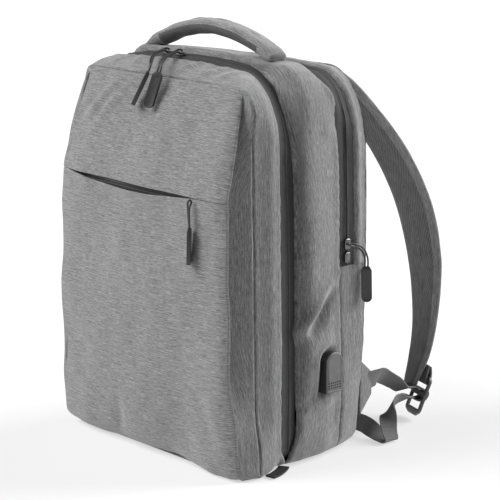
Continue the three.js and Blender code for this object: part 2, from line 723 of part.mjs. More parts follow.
for (const p of PULLS) {
  const up = p.up.clone().normalize();
  const down = p.hang.clone().normalize();
  const face = p.face.clone().addScaledVector(down, -p.face.dot(down)).normalize();
  const across = face.clone().cross(down);
  const bail = p.slider.clone().addScaledVector(up, SLIDER.height + GAP + CORD.radius);
  const end = p.tab.clone().addScaledVector(down, -2 * GAP);
  addSolid("slider_" + p.name, "plastic", slider(p.slider, p.along, up), 0.4);
  addSolid("pull_cord_" + p.name, "plastic", pullCord(bail, p.along, p.way, end, across), 0.6);
  addSolid("pull_tab_" + p.name, "plastic", pullTab(p.tab, down, face), 0.5);
}
addSolid("slider_side_lower", "plastic", slider(V(152.2, 57, 224.5), V(0, 0, -1), V(1, 0, 0)), 0.4);

export default group;
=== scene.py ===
# %% [markdown]
# # A heather-grey day backpack
# This lesson dresses a frame of plain solids that already has the bag's true sizes. Each step makes one
# piece of the bag: cords and the small hard parts on them first, then the sewn cloth, the padded pieces,
# and last the charging port and the sewn tabs. Tables are in millimetres, as a bag maker's pattern is,
# and Blender's own unit is the metre.

# %% Load the frame
import math

import bpy
import numpy as np
from mathutils import Matrix, Vector


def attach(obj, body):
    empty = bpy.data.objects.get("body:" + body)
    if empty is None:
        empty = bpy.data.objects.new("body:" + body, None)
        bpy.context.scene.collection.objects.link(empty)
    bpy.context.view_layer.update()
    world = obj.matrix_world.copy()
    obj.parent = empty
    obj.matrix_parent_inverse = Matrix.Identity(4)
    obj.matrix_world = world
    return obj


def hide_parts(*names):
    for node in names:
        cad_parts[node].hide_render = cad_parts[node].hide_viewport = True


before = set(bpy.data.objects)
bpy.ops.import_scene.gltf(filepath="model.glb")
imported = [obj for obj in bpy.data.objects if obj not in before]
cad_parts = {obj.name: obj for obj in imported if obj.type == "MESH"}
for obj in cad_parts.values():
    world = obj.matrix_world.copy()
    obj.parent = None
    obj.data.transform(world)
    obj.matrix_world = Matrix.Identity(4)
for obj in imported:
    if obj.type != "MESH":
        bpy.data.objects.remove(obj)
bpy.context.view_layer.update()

MM = 0.001

# %% [markdown]
# ## Camera
# The picture was taken from the bag's front right corner, a little above it, with a long lens from about
# two metres. A camera that is turned by azimuth and elevation, and backed away from a point inside the
# bag, keeps that meaning in its numbers, which a bare matrix would hide.

# %% Camera
AZIMUTH = math.radians(49.08)
ELEVATION = math.radians(12.83)
ROLL = math.radians(-0.24)
LOOKS_AT = Vector((103.81, -40.0, 239.24)) * MM
DISTANCE = 2014.6 * MM
FOCAL_LENGTH = 135.05
SENSOR_WIDTH = 36.0

lens = bpy.data.cameras.new("camera")
lens.lens = FOCAL_LENGTH
lens.sensor_width = SENSOR_WIDTH
camera = bpy.data.objects.new("camera", lens)
bpy.context.collection.objects.link(camera)
turn = Matrix.Rotation(AZIMUTH, 4, "Z") @ Matrix.Rotation(math.pi / 2 - ELEVATION, 4, "X")
backward = turn.to_3x3() @ Vector((0, 0, 1))
backed_away = Matrix.Translation(LOOKS_AT + backward * DISTANCE)
camera.matrix_world = backed_away @ turn @ Matrix.Rotation(ROLL, 4, "Z")
bpy.context.scene.camera = camera
print("camera at", [round(c, 3) for c in camera.matrix_world.translation])

# %% [markdown]
# ## Light and floor
# A bag is photographed for sale in a white tent on a lit white table, which keeps its shadow pale. One
# broad lamp high on the front left brightens the front and the top, and a second one behind on the right
# draws out the edges. Suns with a wide disc give soft shadows and light the floor evenly, which area
# lamps near the bag would not.

# %% Light and floor
scene = bpy.context.scene
scene.view_settings.view_transform = "Standard"
world = bpy.data.worlds.new("tent")
scene.world = world
world.use_nodes = True
tent = world.node_tree.nodes["Background"].inputs
tent["Color"].default_value = (1, 1, 1, 1)
tent["Strength"].default_value = 0.12


def sun(name, azimuth, elevation, strength, disc):
    """A sun that shines from an azimuth and elevation in degrees; 0 is straight in front of the bag."""
    light = bpy.data.lights.new(name, "SUN")
    light.energy = strength
    light.angle = math.radians(disc)
    lamp = bpy.data.objects.new(name, light)
    bpy.context.collection.objects.link(lamp)
    lamp.rotation_euler = (math.radians(90 - elevation), 0, math.radians(azimuth))
    return lamp


sun("front_lamp", azimuth=-38, elevation=42, strength=4.4, disc=45)
sun("rear_lamp", azimuth=157, elevation=30, strength=5.0, disc=40)


def clear_selection():
    bpy.ops.object.select_all(action="DESELECT")


clear_selection()
FLOOR_SIDE = 120.0
FLOOR_DROP = 0.5
bpy.ops.mesh.primitive_plane_add(size=FLOOR_SIDE, location=(0, 0, -FLOOR_DROP * MM))
floor = bpy.context.object
floor.name = "floor"
paper = bpy.data.materials.new("pale_paper")
paper.use_nodes = True
table_top = paper.node_tree.nodes["Principled BSDF"].inputs
table_top["Base Color"].default_value = (0.3, 0.3, 0.3, 1)
table_top["Roughness"].default_value = 0.9
table_top["Emission Color"].default_value = (1, 1, 1, 1)
table_top["Emission Strength"].default_value = 0.55
floor.data.materials.append(paper)

# %% [markdown]
# ## Finishes: how a material is put together
# A finish is a few noise and wave textures that are drawn out to the size of real threads. Cloth pieces
# carry a UV map in metres, U along the streaks, so one finish has the same thread size on every piece.
# The helpers below add a node, wire it up, and give streaks and bands of a size in millimetres.

# %% Helpers for finishes


def shader_of(finish):
    return finish.node_tree.nodes["Principled BSDF"]


def new_finish(name, roughness, **sockets):
    """A material whose shader has these fixed values; socket names have _ for spaces."""
    finish = bpy.data.materials.new(name)
    finish.use_nodes = True
    shader_of(finish).inputs["Roughness"].default_value = roughness
    for socket, value in sockets.items():
        shader_of(finish).inputs[socket.replace("_", " ")].default_value = value
    return finish


def add_node(finish, kind, inputs=(), **settings):
    """A shader node with settings, and inputs given as {name: value or another node's output}."""
    node = finish.node_tree.nodes.new("ShaderNode" + kind)
    for name, value in settings.items():
        setattr(node, name, value)
    for name, value in dict(inputs).items():
        if isinstance(value, bpy.types.NodeSocket):
            finish.node_tree.links.new(value, node.inputs[name])
        else:
            node.inputs[name].default_value = value
    return node


def coordinates(finish, source, size, turned=0.0):
    """UV or Object coordinates, counted in steps of a size in millimetres along each axis."""
    place = add_node(finish, "TexCoord").outputs[source]
    steps = [1.0 / (s * MM) for s in size]
    mapping = {"Vector": place, "Scale": steps, "Rotation": (0, 0, turned)}
    return add_node(finish, "Mapping", mapping).outputs["Vector"]


def streaks(finish, source, size, detail=2.0):
    """Noise whose spots have a size in millimetres along each axis."""
    at = coordinates(finish, source, size)
    return add_node(finish, "TexNoise", {"Vector": at, "Scale": 1.0, "Detail": detail}).outputs["Fac"]


def bands(finish, source, pitch, axis, distortion=0.0, turned=0.0):
    """Waves a pitch in millimetres apart, counted along an axis of the map that may be turned."""
    at = coordinates(finish, source, (pitch, pitch, pitch), turned)
    one_wave = 0.1 * math.pi  # a wave texture of this scale repeats once in each unit
    inputs = {"Vector": at, "Scale": one_wave, "Distortion": distortion}
    return add_node(finish, "TexWave", inputs, bands_direction=axis).outputs["Fac"]


def blend(finish, a, b, share):
    """share of b over a, for two numbers."""
    inputs = {"Factor": share, "A": a, "B": b}
    return add_node(finish, "Mix", inputs).outputs["Result"]


def times(finish, a, b):
    node = add_node(finish, "Math", operation="MULTIPLY")
    for socket, value in zip(node.inputs, (a, b)):
        finish.node_tree.links.new(value, socket)
    return node.outputs["Value"]


def paint(finish, height, stops):
    """Colours the shader from a number: stops are (number, grey level)."""
    ramp = add_node(finish, "ValToRGB", {"Fac": height})
    elements = ramp.color_ramp.elements
    for extra in range(len(stops) - 2):
        elements.new(0.5)
    for element, (place, grey) in zip(elements, stops):
        element.position = place
        element.color = (grey, grey, grey * 1.01, 1)
    finish.node_tree.links.new(ramp.outputs["Color"], shader_of(finish).inputs["Base Color"])


def emboss(finish, height, depth, strength=0.6):
    """A bump of a depth in millimetres from a number."""
    bump = add_node(finish, "Bump", {"Height": height, "Distance": depth * MM, "Strength": strength})
    finish.node_tree.links.new(bump.outputs["Normal"], shader_of(finish).inputs["Normal"])


print("helpers for finishes are ready")

# %% [markdown]
# ## Cloth
# The cloth is a heather: light and dark fibres are spun into one yarn, so it shows short streaks along
# the thread. Three noises give long faint slubs, short streaks and single fibres, and two crossed waves
# give the plain weave's relief. A painted picture would do too, but noise keeps its sharpness at any
# distance. The straps' covers get a paler copy of the cloth, painted light that stands in for light from
# behind catching them.

# %% Cloth finish


def heather_cloth(name, shade):
    finish = new_finish(name, 0.88, Sheen_Weight=0.3, Specular_IOR_Level=0.25)
    slubs = streaks(finish, "UV", (25, 1.2, 1), 1.0)
    short = streaks(finish, "UV", (7.0, 0.85, 1), 1.0)
    fibres = streaks(finish, "UV", (2.2, 0.6, 1), 1.0)
    tone = blend(finish, blend(finish, slubs, short, 0.55), fibres, 0.25)
    stops = [(0.37, 0.082), (0.475, 0.154), (0.53, 0.185), (0.63, 0.270)]
    paint(finish, tone, [(place, grey * shade) for place, grey in stops])
    weave = times(finish, bands(finish, "UV", 0.9, "X"), bands(finish, "UV", 0.8, "Y"))
    emboss(finish, blend(finish, weave, short, 0.5), 0.35)
    return finish


CLOTH = heather_cloth("heather_cloth", shade=1.0)
# A paler copy of the cloth for the straps: painted light for the rear light on their covers.
LIT_STRAP_CLOTH = heather_cloth("strap_cloth_painted_light", shade=1.35)
print("finishes:", CLOTH.name, LIT_STRAP_CLOTH.name)

# %% [markdown]
# ## Zip tape, spacer mesh, webbing
# The tape is a dense dark weave with fine lines along it. Spacer mesh is a knitted cover full of small
# holes over foam, cut on the bias: round cells in a turned grid give its staggered holes, and slanting
# waves its ribs. Webbing is woven with fine ribs across its length. The handle's grip is a darker copy
# of the same mesh, painted shade for the underside of the handle that faces down, away from the light.

# %% Tape, mesh and webbing finishes


def zip_tape():
    finish = new_finish("zip_tape", 0.8, Specular_IOR_Level=0.3)
    weave = times(finish, bands(finish, "UV", 0.9, "X"), bands(finish, "UV", 1.1, "Y"))
    tone = blend(finish, weave, streaks(finish, "UV", (6, 1, 1)), 0.5)
    paint(finish, tone, [(0.1, 0.026), (0.8, 0.074)])
    emboss(finish, weave, 0.3)
    return finish


def spacer_mesh(name, shade):
    finish = new_finish(name, 0.85, Sheen_Weight=0.1, Specular_IOR_Level=0.25)
    bias = math.radians(24)
    at = coordinates(finish, "UV", (2.4, 2.4, 1), bias + math.pi / 4)
    cells = add_node(finish, "TexVoronoi", {"Vector": at, "Scale": 1.0, "Randomness": 0.1})
    ribs = bands(finish, "UV", 3.2, "Y", 0.3, bias)
    knit = blend(finish, cells.outputs["Distance"], ribs, 0.3)
    tone = blend(finish, knit, streaks(finish, "UV", (14, 6, 1)), 0.35)
    stops = [(0.2, 0.050), (0.42, 0.140), (0.75, 0.260)]
    paint(finish, tone, [(place, grey * shade) for place, grey in stops])
    emboss(finish, knit, 0.6, 0.7)
    return finish


def ribbed_webbing():
    finish = new_finish("ribbed_webbing", 0.75, Specular_IOR_Level=0.3)
    ribs = bands(finish, "UV", 1.5, "X", 0.3)
    cords = bands(finish, "UV", 2.5, "Y", 0.2)
    relief = blend(finish, ribs, cords, 0.25)
    tone = blend(finish, relief, streaks(finish, "UV", (4, 1, 1)), 0.55)
    paint(finish, tone, [(0.15, 0.095), (0.85, 0.180)])
    emboss(finish, relief, 0.5, 0.8)
    return finish


TAPE = zip_tape()
MESH = spacer_mesh("spacer_mesh", shade=1.0)
# A darker copy of the mesh for the handle's grip: painted shade for its downward side.
SHADED_GRIP_MESH = spacer_mesh("grip_mesh_painted_shade", shade=0.45)
WEBBING = ribbed_webbing()
print("finishes:", TAPE.name, MESH.name, SHADED_GRIP_MESH.name, WEBBING.name)

# %% [markdown]
# ## Plastics and lacquer
# Pulls and buckles are moulded with a fine spark texture and a satin gloss, the buckles in a greyer
# plastic. The sliders are cast metal under a dark lacquer, and the charging port has a softer grey face.
# All read Object coordinates, so their grain stays in place on the piece.

# %% Plastic finishes


def moulded(name, grey, roughness, grain, metal=0.0):
    finish = new_finish(name, roughness, Specular_IOR_Level=0.45, Metallic=metal)
    spark = streaks(finish, "Object", (grain, grain, grain), 3.0)
    cloudy = streaks(finish, "Object", (9, 9, 9), 1.0)
    paint(finish, blend(finish, cloudy, spark, 0.5), [(0.3, grey * 0.8), (0.7, grey * 1.25)])
    emboss(finish, spark, 0.12, 0.5)
    return finish


SATIN = moulded("satin_plastic", grey=0.030, roughness=0.42, grain=0.5)
GLOSS = moulded("slider_lacquer", grey=0.15, roughness=0.34, grain=0.9, metal=1.0)
GREY_PLASTIC = moulded("buckle_plastic", grey=0.075, roughness=0.45, grain=0.5)
SOFT_GREY = moulded("soft_grey_plastic", grey=0.115, roughness=0.55, grain=0.7)
BLACK = moulded("black_webbing", grey=0.010, roughness=0.7, grain=0.8)
print("plastics:", SATIN.name, GLOSS.name, GREY_PLASTIC.name, SOFT_GREY.name, BLACK.name)

# %% [markdown]
# ## Blanks and dressing
# Soft pieces start as a flat grid, the way cloth starts as a flat cut. Its points are then laid on the
# bag by a formula, its thread map is written in metres, and Solidify gives the cloth its thickness.
# `dress` says which body a piece rides on, which solids it stands for, and which finish it has.

# %% Helpers for soft pieces


def dress(piece, slot, finishes, *nodes):
    """Gives a finished piece its finishes, its body and the solids that it stands for."""
    for finish in finishes:
        piece.data.materials.append(finish)
    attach(piece, "root")
    if nodes:
        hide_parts(*nodes)
    return piece


def select_only(piece):
    clear_selection()
    piece.select_set(True)
    bpy.context.view_layer.objects.active = piece


def edit(piece, *steps):
    """Runs operators in edit mode on all of a piece; a step is (operator, its arguments)."""
    select_only(piece)
    bpy.ops.object.mode_set(mode="EDIT")
    bpy.ops.mesh.select_all(action="SELECT")
    for operator, arguments in steps:
        operator(**arguments)
    bpy.ops.object.mode_set(mode="OBJECT")
    return piece


def apply_modifier(piece, kind, **settings):
    select_only(piece)
    modifier = piece.modifiers.new(kind.title(), kind)
    for name, value in settings.items():
        setattr(modifier, name, value)
    bpy.ops.object.modifier_apply(modifier=modifier.name)
    return piece


def call(piece, name):
    piece.name = name
    piece.data.name = name
    return piece


def corners_of(piece):
    """The number of the vertex at each corner of each face."""
    corners = np.empty(len(piece.data.loops), dtype=np.int32)
    piece.data.loops.foreach_get("vertex_index", corners)
    return corners


def lay_blank(name, points, threads):
    """A flat grid laid on points[row, column], millimetres, with its thread map in millimetres too."""
    rows, columns = points.shape[:2]
    clear_selection()
    bpy.ops.mesh.primitive_grid_add(x_subdivisions=columns - 1, y_subdivisions=rows - 1, size=1.0)
    blank = call(bpy.context.object, name)
    blank.data.vertices.foreach_set("co", (points * MM).ravel())
    thread_map = threads.reshape(-1, 2)[corners_of(blank)] * MM
    blank.data.uv_layers.active.data.foreach_set("uv", thread_map.ravel())
    blank.data.update()
    return blank


def smooth_shading(piece):
    select_only(piece)
    bpy.ops.object.shade_smooth()
    return piece


def smooth_by_angle(piece, degrees=40):
    """Shades a piece smooth, apart from edges that turn by more than an angle."""
    select_only(piece)
    bpy.ops.object.shade_smooth_by_angle(angle=math.radians(degrees))
    return piece


def face_out(piece):
    return edit(piece, (bpy.ops.mesh.normals_make_consistent, {"inside": False}))


def mirror_piece(piece, mirror):
    """Scales a mesh by 1 or -1 along each axis and turns its faces out again."""
    piece.data.transform(Matrix.Diagonal((*mirror, 1.0)))
    return face_out(piece)


MERGE = 0.01 * MM


def weld(piece):
    """Joins points that lie on each other, such as a ring's first and last row."""
    return edit(piece, (bpy.ops.mesh.remove_doubles, {"threshold": MERGE}))


def run_length(points, axis):
    """Distance along the rows or columns of a grid of points."""
    steps = np.linalg.norm(np.diff(points, axis=axis), axis=-1)
    start = np.zeros_like(np.take(steps, [0], axis=axis))
    return np.concatenate([start, np.cumsum(steps, axis=axis)], axis=axis)


def outward(points):
    """Unit normals of a grid whose columns, then rows, turn anticlockwise seen from outside."""
    normal = np.cross(np.gradient(points, axis=1), np.gradient(points, axis=0))
    return normal / np.maximum(np.linalg.norm(normal, axis=-1, keepdims=True), 1e-9)


def cloth_area(points):
    """The area of a grid of points in square metres, and its greatest width and length in metres."""
    a = points[1:, 1:] - points[:-1, :-1]
    b = points[1:, :-1] - points[:-1, 1:]
    area = np.linalg.norm(np.cross(a, b), axis=-1).sum() / 2 * MM * MM
    width = run_length(points, 1)[:, -1].max() * MM
    length = run_length(points, 0)[-1].max() * MM
    return area, (width, length)


def declare_sheet(wall, flat):
    print(wall.name, "was cut", [round(side, 3) for side in flat], "m")


print("helpers for soft pieces are ready")

# %% [markdown]
# ## Cords: the adjusting webbing
# Each shoulder strap hangs on a length of webbing. It leaves a sewn tab at the foot of the back, goes
# round the middle bar of a ladder buckle and ends in a free tail that folds down to the floor. Its route
# is a short list of places, each with the way its width lies, and a centripetal curve joins them without
# loops.

# %% Webbing


def curve_through(places, count):
    """count points on a centripetal curve through places, spaced evenly from each place to the next."""
    p = np.asarray(places, float)
    p = np.vstack([2 * p[0] - p[1], p, 2 * p[-1] - p[-2]])
    t = np.linspace(0, len(p) - 3, count)
    k = np.minimum(t.astype(int), len(p) - 4)
    w = (t - k)[:, None]
    before, start, end, after = p[k], p[k + 1], p[k + 2], p[k + 3]
    d0, d1, d2 = (
        np.sqrt(np.linalg.norm(b - a, axis=1, keepdims=True)) + 1e-9
        for a, b in ((before, start), (start, end), (end, after))
    )
    leave = d1 * ((start - before) / d0 - (end - before) / (d0 + d1) + (end - start) / d1)
    arrive = d1 * ((end - start) / d1 - (after - start) / (d1 + d2) + (after - end) / d2)
    square = -3 * start + 3 * end - 2 * leave - arrive
    cube = 2 * start - 2 * end + leave + arrive
    return start + w * (leave + w * (square + w * cube))


def unit(vectors):
    return vectors / np.linalg.norm(vectors, axis=-1, keepdims=True)


WEBBING_WIDTH = 20.0
WEBBING_THICK = 1.6
BUCKLE_AT = np.array([114.0, 214.0, 28.5])
BUCKLE_WIDE = np.array([math.cos(0.3), -math.sin(0.3), 0.0])
BUCKLE_LEAN = np.array([0.0, 0.4, 0.92])
BUCKLE_UP = unit(BUCKLE_LEAN - BUCKLE_LEAN.dot(BUCKLE_WIDE) * BUCKLE_WIDE)
BUCKLE_OUT = np.cross(BUCKLE_UP, BUCKLE_WIDE)


def in_buckle(up, out):
    return BUCKLE_AT + BUCKLE_UP * up + BUCKLE_OUT * out


WEBBING_ROUTE = [
    ((141.4, 100, 73), (0, 0, 1)),
    ((141.4, 115, 74), (0.2, 0, 1)),
    ((138, 125, 74), (0.5, -0.1, 0.8)),
    ((129, 142, 66), (0.6, -0.1, 0.75)),
    ((121, 166, 53), (0.65, -0.1, 0.7)),
    ((115, 186, 40), (0.85, -0.2, 0.45)),
    (in_buckle(6.6, -12), BUCKLE_WIDE),
    (in_buckle(7, -1), BUCKLE_WIDE),
    (in_buckle(6, 5.5), BUCKLE_WIDE),
    (in_buckle(1.5, 7), BUCKLE_WIDE),
    (in_buckle(-4.5, 5), BUCKLE_WIDE),
    (in_buckle(-7, -1), BUCKLE_WIDE),
    (in_buckle(-7, -12), BUCKLE_WIDE),
    ((121, 180, 29), (0.8, -0.3, 0.4)),
    ((131, 157, 34), (0.4, 0, 0.9)),
    ((142, 137, 33), (0.35, 0.35, 0.8)),
    ((150, 127, 24), (0.25, 0.85, 0.4)),
    ((157, 122.5, 11), (0.1, 1, 0.05)),
    ((161, 121.5, 4), (0, 1, 0)),
    ((158, 121, 1.5), (0, 1, 0)),
    ((148, 120.5, 2.8), (0, 1, 0.1)),
    ((136, 119, 8), (0.1, 0.9, 0.45)),
    ((122, 117, 13.5), (0.1, 0.35, 0.9)),
    ((104, 115, 14.5), (0, 0.1, 1)),
    ((86, 114, 14), (0, 0, 1)),
]
SIDES = {"right": np.array([1.0, 1.0, 1.0]), "left": np.array([-1.0, 1.0, 1.0])}


def ribbon(name, route, width, thick, mirror, count):
    """Flat webbing along a route. Returns the piece and the middle line, in millimetres."""
    line = curve_through([place for place, wide in route], count) * mirror
    wide = curve_through([unit(np.asarray(wide, float)) for place, wide in route], count) * mirror
    along = unit(np.gradient(line, axis=0))
    wide = unit(wide - (wide * along).sum(1, keepdims=True) * along)
    across = np.linspace(-0.5, 0.5, 9) * width
    points = line[:, None] + wide[:, None] * across[None, :, None]
    run = run_length(line[:, None], 0)
    threads = np.stack(np.broadcast_arrays(run, across[None]), axis=-1)
    piece = lay_blank(name, points, threads)
    apply_modifier(piece, "SOLIDIFY", thickness=thick * MM, offset=0.0)
    face_out(piece)
    return smooth_by_angle(piece), line


for side, mirror in SIDES.items():
    name = "adjusting_webbing_" + side
    piece, line = ribbon(name, WEBBING_ROUTE, WEBBING_WIDTH, WEBBING_THICK, mirror, count=260)
    dress(piece, "webbing", [WEBBING], "webbing_" + side)

# %% [markdown]
# ## Cords: the pulls
# Every zip slider has a loop of thin round cord with a moulded tab on it. The cord goes under the
# slider's bridge and back over it, and both legs run down into the tab. It is one open curve that starts
# and ends at the slider, with a round bevel for its thickness. The tabs come right after, because they
# hang on the cords.

# %% Pull cords
CORD_RADIUS = 1.1
CORD_SPREAD = 1.5
CORD_TURN = 2.6
CORD_PASS = 0.8
UNDER_BRIDGE = 3.5
OVER_BRIDGE = 6.9
INSIDE_TAB = 4.0
PULLS = {
    "top_1": {
        "slider": (-54, -23, 434.7),
        "along": (1, 0, 0),
        "up": (0, -0.165, 1),
        "way": [(-53, -31, 440), (-43, -50, 438.6), (-28, -67, 435), (-14, -79.5, 430.5)],
        "tab": (-14, -83, 423.5),
        "hang": (-13.5, -12, -37),
        "face": (0.66, 0.75, 0),
    },
    "top_2": {
        "slider": (-31, -23, 435.2),
        "along": (1, 0, 0),
        "up": (0, -0.165, 1),
        "way": [(-30, -31, 440.4), (-21, -50, 438.8), (-8, -68, 435), (2.5, -79, 431.5)],
        "tab": (3, -82, 425),
        "hang": (-5, -11, -36),
        "face": (0.5, -0.8, 0.32),
    },
    "side": {
        "slider": (152.2, 57, 239.5),
        "along": (0, 0, 1),
        "up": (1, 0, 0),
        "way": [(158, 66, 237), (159.5, 74, 232), (159.5, 80, 222)],
        "tab": (158, 82, 211),
        "hang": (0, 0.03, -1),
        "face": (0.76, -0.65, 0),
    },
    "pocket": {
        "slider": (100.5, -115, 302),
        "along": (1, 0, 0),
        "up": (0, -1, 0),
        "way": [(100.5, -121.5, 296), (101, -122, 288), (101.2, -121.8, 280)],
        "tab": (101.2, -121.4, 274.5),
        "hang": (-0.05, 0, -1),
        "face": (0.66, 0.75, 0),
    },
}
for pull in PULLS.values():
    for part in ("slider", "along", "up", "way", "tab", "hang", "face"):
        pull[part] = np.asarray(pull[part], float)
    pull["up"] = unit(pull["up"])
    pull["hang"] = unit(pull["hang"])
    pull["face"] = unit(pull["face"] - pull["face"].dot(pull["hang"]) * pull["hang"])
    across = np.cross(pull["face"], pull["hang"])
    pull["across"] = across if across.dot(pull["along"]) >= 0 else -across


def pull_route(pull):
    """A cord's places: under the bridge, down one leg, round in the tab, up and over the bridge."""
    tab, hang, across = pull["tab"], pull["hang"], pull["across"]
    line = [*pull["way"], tab]
    bridge = pull["slider"] + pull["up"] * (UNDER_BRIDGE + OVER_BRIDGE) / 2
    legs = {}
    for sign in (1, -1):
        leg = []
        for i, point in enumerate(line):
            before = line[i - 1] if i else bridge
            after = line[i + 1] if i + 1 < len(line) else tab + hang
            run = unit(after - before)
            share = (i + 1) / len(line)
            aside = pull["along"] * (1 - share) + across * share
            aside = unit(aside - aside.dot(run) * run)
            leg.append(point + aside * sign * CORD_SPREAD)
        legs[sign] = leg
    beyond = unit(bridge - line[0])
    beyond = unit(beyond - beyond.dot(pull["up"]) * pull["up"]) * CORD_TURN
    under = pull["slider"] + pull["up"] * UNDER_BRIDGE + pull["along"] * CORD_PASS
    over = pull["slider"] + pull["up"] * OVER_BRIDGE - pull["along"] * CORD_PASS
    inside = tab + hang * INSIDE_TAB
    return [bridge + beyond, under, *legs[1], inside, *legs[-1][::-1], over, bridge + beyond * 0.98]


def round_cord(name, points, radius):
    """A curve object with a round section through points in millimetres."""
    data = bpy.data.curves.new(name, "CURVE")
    data.dimensions = "3D"
    data.bevel_depth = radius * MM
    data.bevel_resolution = 3
    data.use_fill_caps = True
    spline = data.splines.new("POLY")
    spline.points.add(len(points) - 1)
    flat = np.column_stack([points * MM, np.ones(len(points))])
    spline.points.foreach_set("co", flat.ravel())
    spline.use_smooth = True
    piece = bpy.data.objects.new(name, data)
    bpy.context.collection.objects.link(piece)
    return piece


pull_cords = {}
for name, pull in PULLS.items():
    line = curve_through(pull_route(pull), count=110)
    piece = round_cord("loop_cord_" + name, line, CORD_RADIUS)
    dress(piece, "plastic", [SATIN], "pull_cord_" + name)
    pull_cords[name] = (piece, line)
    print(piece.name, "is", round(run_length(line[:, None], 0)[-1, 0]), "mm long")

# %% [markdown]
# ## Small hard parts: boxes, cuts and bevels
# Pulls, sliders and buckles are small mouldings. Each starts as a box at the origin, gets its corners,
# recesses and holes with edit-mode operators, and is then turned and moved to its place, which is applied
# so that the object itself stays at the origin.

# %% Helpers for hard parts


def start_box(name, size, centre=(0, 0, 0)):
    """A box of a size in millimetres."""
    clear_selection()
    bpy.ops.mesh.primitive_cube_add(size=1.0)
    box = call(bpy.context.object, name)
    box.scale = Vector(size) * MM
    box.location = Vector(centre) * MM
    bpy.ops.object.transform_apply(location=True, rotation=False, scale=True)
    return box


def pick(piece, kind, test):
    """Selects FACEs or EDGEs and stays in edit mode; test gets a middle, in mm, and a direction."""
    select_only(piece)
    bpy.ops.object.mode_set(mode="EDIT")
    bpy.ops.mesh.select_mode(type=kind)
    bpy.ops.mesh.select_all(action="DESELECT")
    bpy.ops.object.mode_set(mode="OBJECT")
    mesh = piece.data
    if kind == "FACE":
        for face in mesh.polygons:
            face.select = bool(test(face.center / MM, face.normal))
    else:
        for edge in mesh.edges:
            a, b = (mesh.vertices[v].co for v in edge.vertices)
            edge.select = bool(test((a + b) / 2 / MM, (b - a).normalized()))
    bpy.ops.object.mode_set(mode="EDIT")


def leave_edit():
    bpy.ops.object.mode_set(mode="OBJECT")


def put(piece, at, x_axis, z_axis):
    """Turns a piece so that its X and Z lie on two directions, moves it and applies that to its mesh."""
    x = Vector(x_axis).normalized()
    z = Vector(z_axis)
    z = (z - z.dot(x) * x).normalized()
    y = z.cross(x)
    axes = Matrix((x, y, z)).transposed().to_4x4()
    piece.data.transform(Matrix.Translation(Vector(at) * MM) @ axes)
    piece.data.update()
    return piece


def join(name, pieces):
    """One mesh object from several."""
    clear_selection()
    for piece in pieces:
        piece.select_set(True)
    bpy.context.view_layer.objects.active = pieces[0]
    bpy.ops.object.join()
    return call(bpy.context.object, name)


def soften(piece, width, segments=2, degrees=35):
    """Rounds every sharp edge and shades the piece smooth."""
    limit = {"limit_method": "ANGLE", "angle_limit": math.radians(degrees), "harden_normals": False}
    apply_modifier(piece, "BEVEL", width=width * MM, segments=segments, **limit)
    return smooth_by_angle(piece, 50)


print("helpers for hard parts are ready")

# %% [markdown]
# ## Pull tabs
# A tab is a rubbery plate, rounded at its lower end, with a raised rim round a sunk middle and a short
# neck where the cord goes in. The neck is extruded from one end, the corners are bevelled, and an inset
# with a depth makes the sunk middle on both faces.

# %% Pull tabs
TAB_LENGTH = 40.0
TAB_WIDTH = 11.5
TAB_THICK = 4.8
TAB_NECK = 4.0


def pull_tab(name, pull):
    body = TAB_LENGTH - TAB_NECK
    tab = start_box(name, (body, TAB_WIDTH, TAB_THICK), (TAB_NECK + body / 2, 0, 0))
    pick(tab, "FACE", lambda middle, normal: normal.x < -0.9)
    bpy.ops.mesh.extrude_region_move(TRANSFORM_OT_translate={"value": (-TAB_NECK * MM, 0, 0)})
    bpy.ops.transform.resize(value=(1, 0.62, 0.8))
    leave_edit()
    pick(tab, "EDGE", lambda middle, run: abs(run.z) > 0.9 and middle.x > TAB_LENGTH - 1)
    bpy.ops.mesh.bevel(offset=TAB_WIDTH * 0.48 * MM, segments=7, affect="EDGES")
    leave_edit()
    pick(tab, "FACE", lambda middle, normal: abs(normal.z) > 0.99 and middle.x > TAB_NECK + 1)
    bpy.ops.mesh.inset(thickness=2.0 * MM, depth=-0.7 * MM, use_individual=True)
    leave_edit()
    soften(tab, 0.55, 3)
    return put(tab, pull["tab"], pull["hang"], pull["face"])


for name, pull in PULLS.items():
    tab = dress(pull_tab("moulded_tab_" + name, pull), "plastic", [SATIN], "pull_tab_" + name)
    cord, line = pull_cords[name]
    print(tab.name, "has", len(tab.data.polygons), "faces")

# %% [markdown]
# ## Zip sliders
# A slider is a lozenge that straddles the zip, with a bridge on its back that the cord goes through. The
# body is a box with bevelled corners and a raised back. The bridge is a small plane that spin turns
# through half a circle, the quickest way to an even arch. The pocket's slider lies deeper, in its slit.

# %% Sliders
SLIDER_SIZE = (12.0, 8.0, 2.4)
BRIDGE_SPAN = 3.6
POCKET_DEEPER = 4.0
LOWER_SLIDER = (152.2, 57, 224.5)


def slider(name, at, along, up):
    height = SLIDER_SIZE[2]
    body = start_box(name, SLIDER_SIZE, (0, 0, height / 2))
    pick(body, "EDGE", lambda middle, run: abs(run.z) > 0.9)
    bpy.ops.mesh.bevel(offset=2.2 * MM, segments=4, affect="EDGES")
    leave_edit()
    pick(body, "FACE", lambda middle, normal: normal.z > 0.9)
    bpy.ops.mesh.inset(thickness=1.1 * MM, depth=0.5 * MM)
    leave_edit()
    soften(body, 0.35)
    clear_selection()
    bpy.ops.mesh.primitive_plane_add(size=1.0)
    arch = bpy.context.object
    arch.scale = (1.1 * MM, 2.8 * MM, 1)
    arch.location = (BRIDGE_SPAN * MM, 0, height * MM)
    bpy.ops.object.transform_apply(location=True, rotation=False, scale=True)
    spin = {"steps": 12, "angle": -math.pi, "center": (0, 0, height * MM), "axis": (0, 1, 0)}
    edit(arch, (bpy.ops.mesh.spin, spin), (bpy.ops.mesh.select_all, {"action": "SELECT"}))
    face_out(arch)
    soften(arch, 0.25)
    whole = join(name, [body, arch])
    return put(whole, at, along, up)


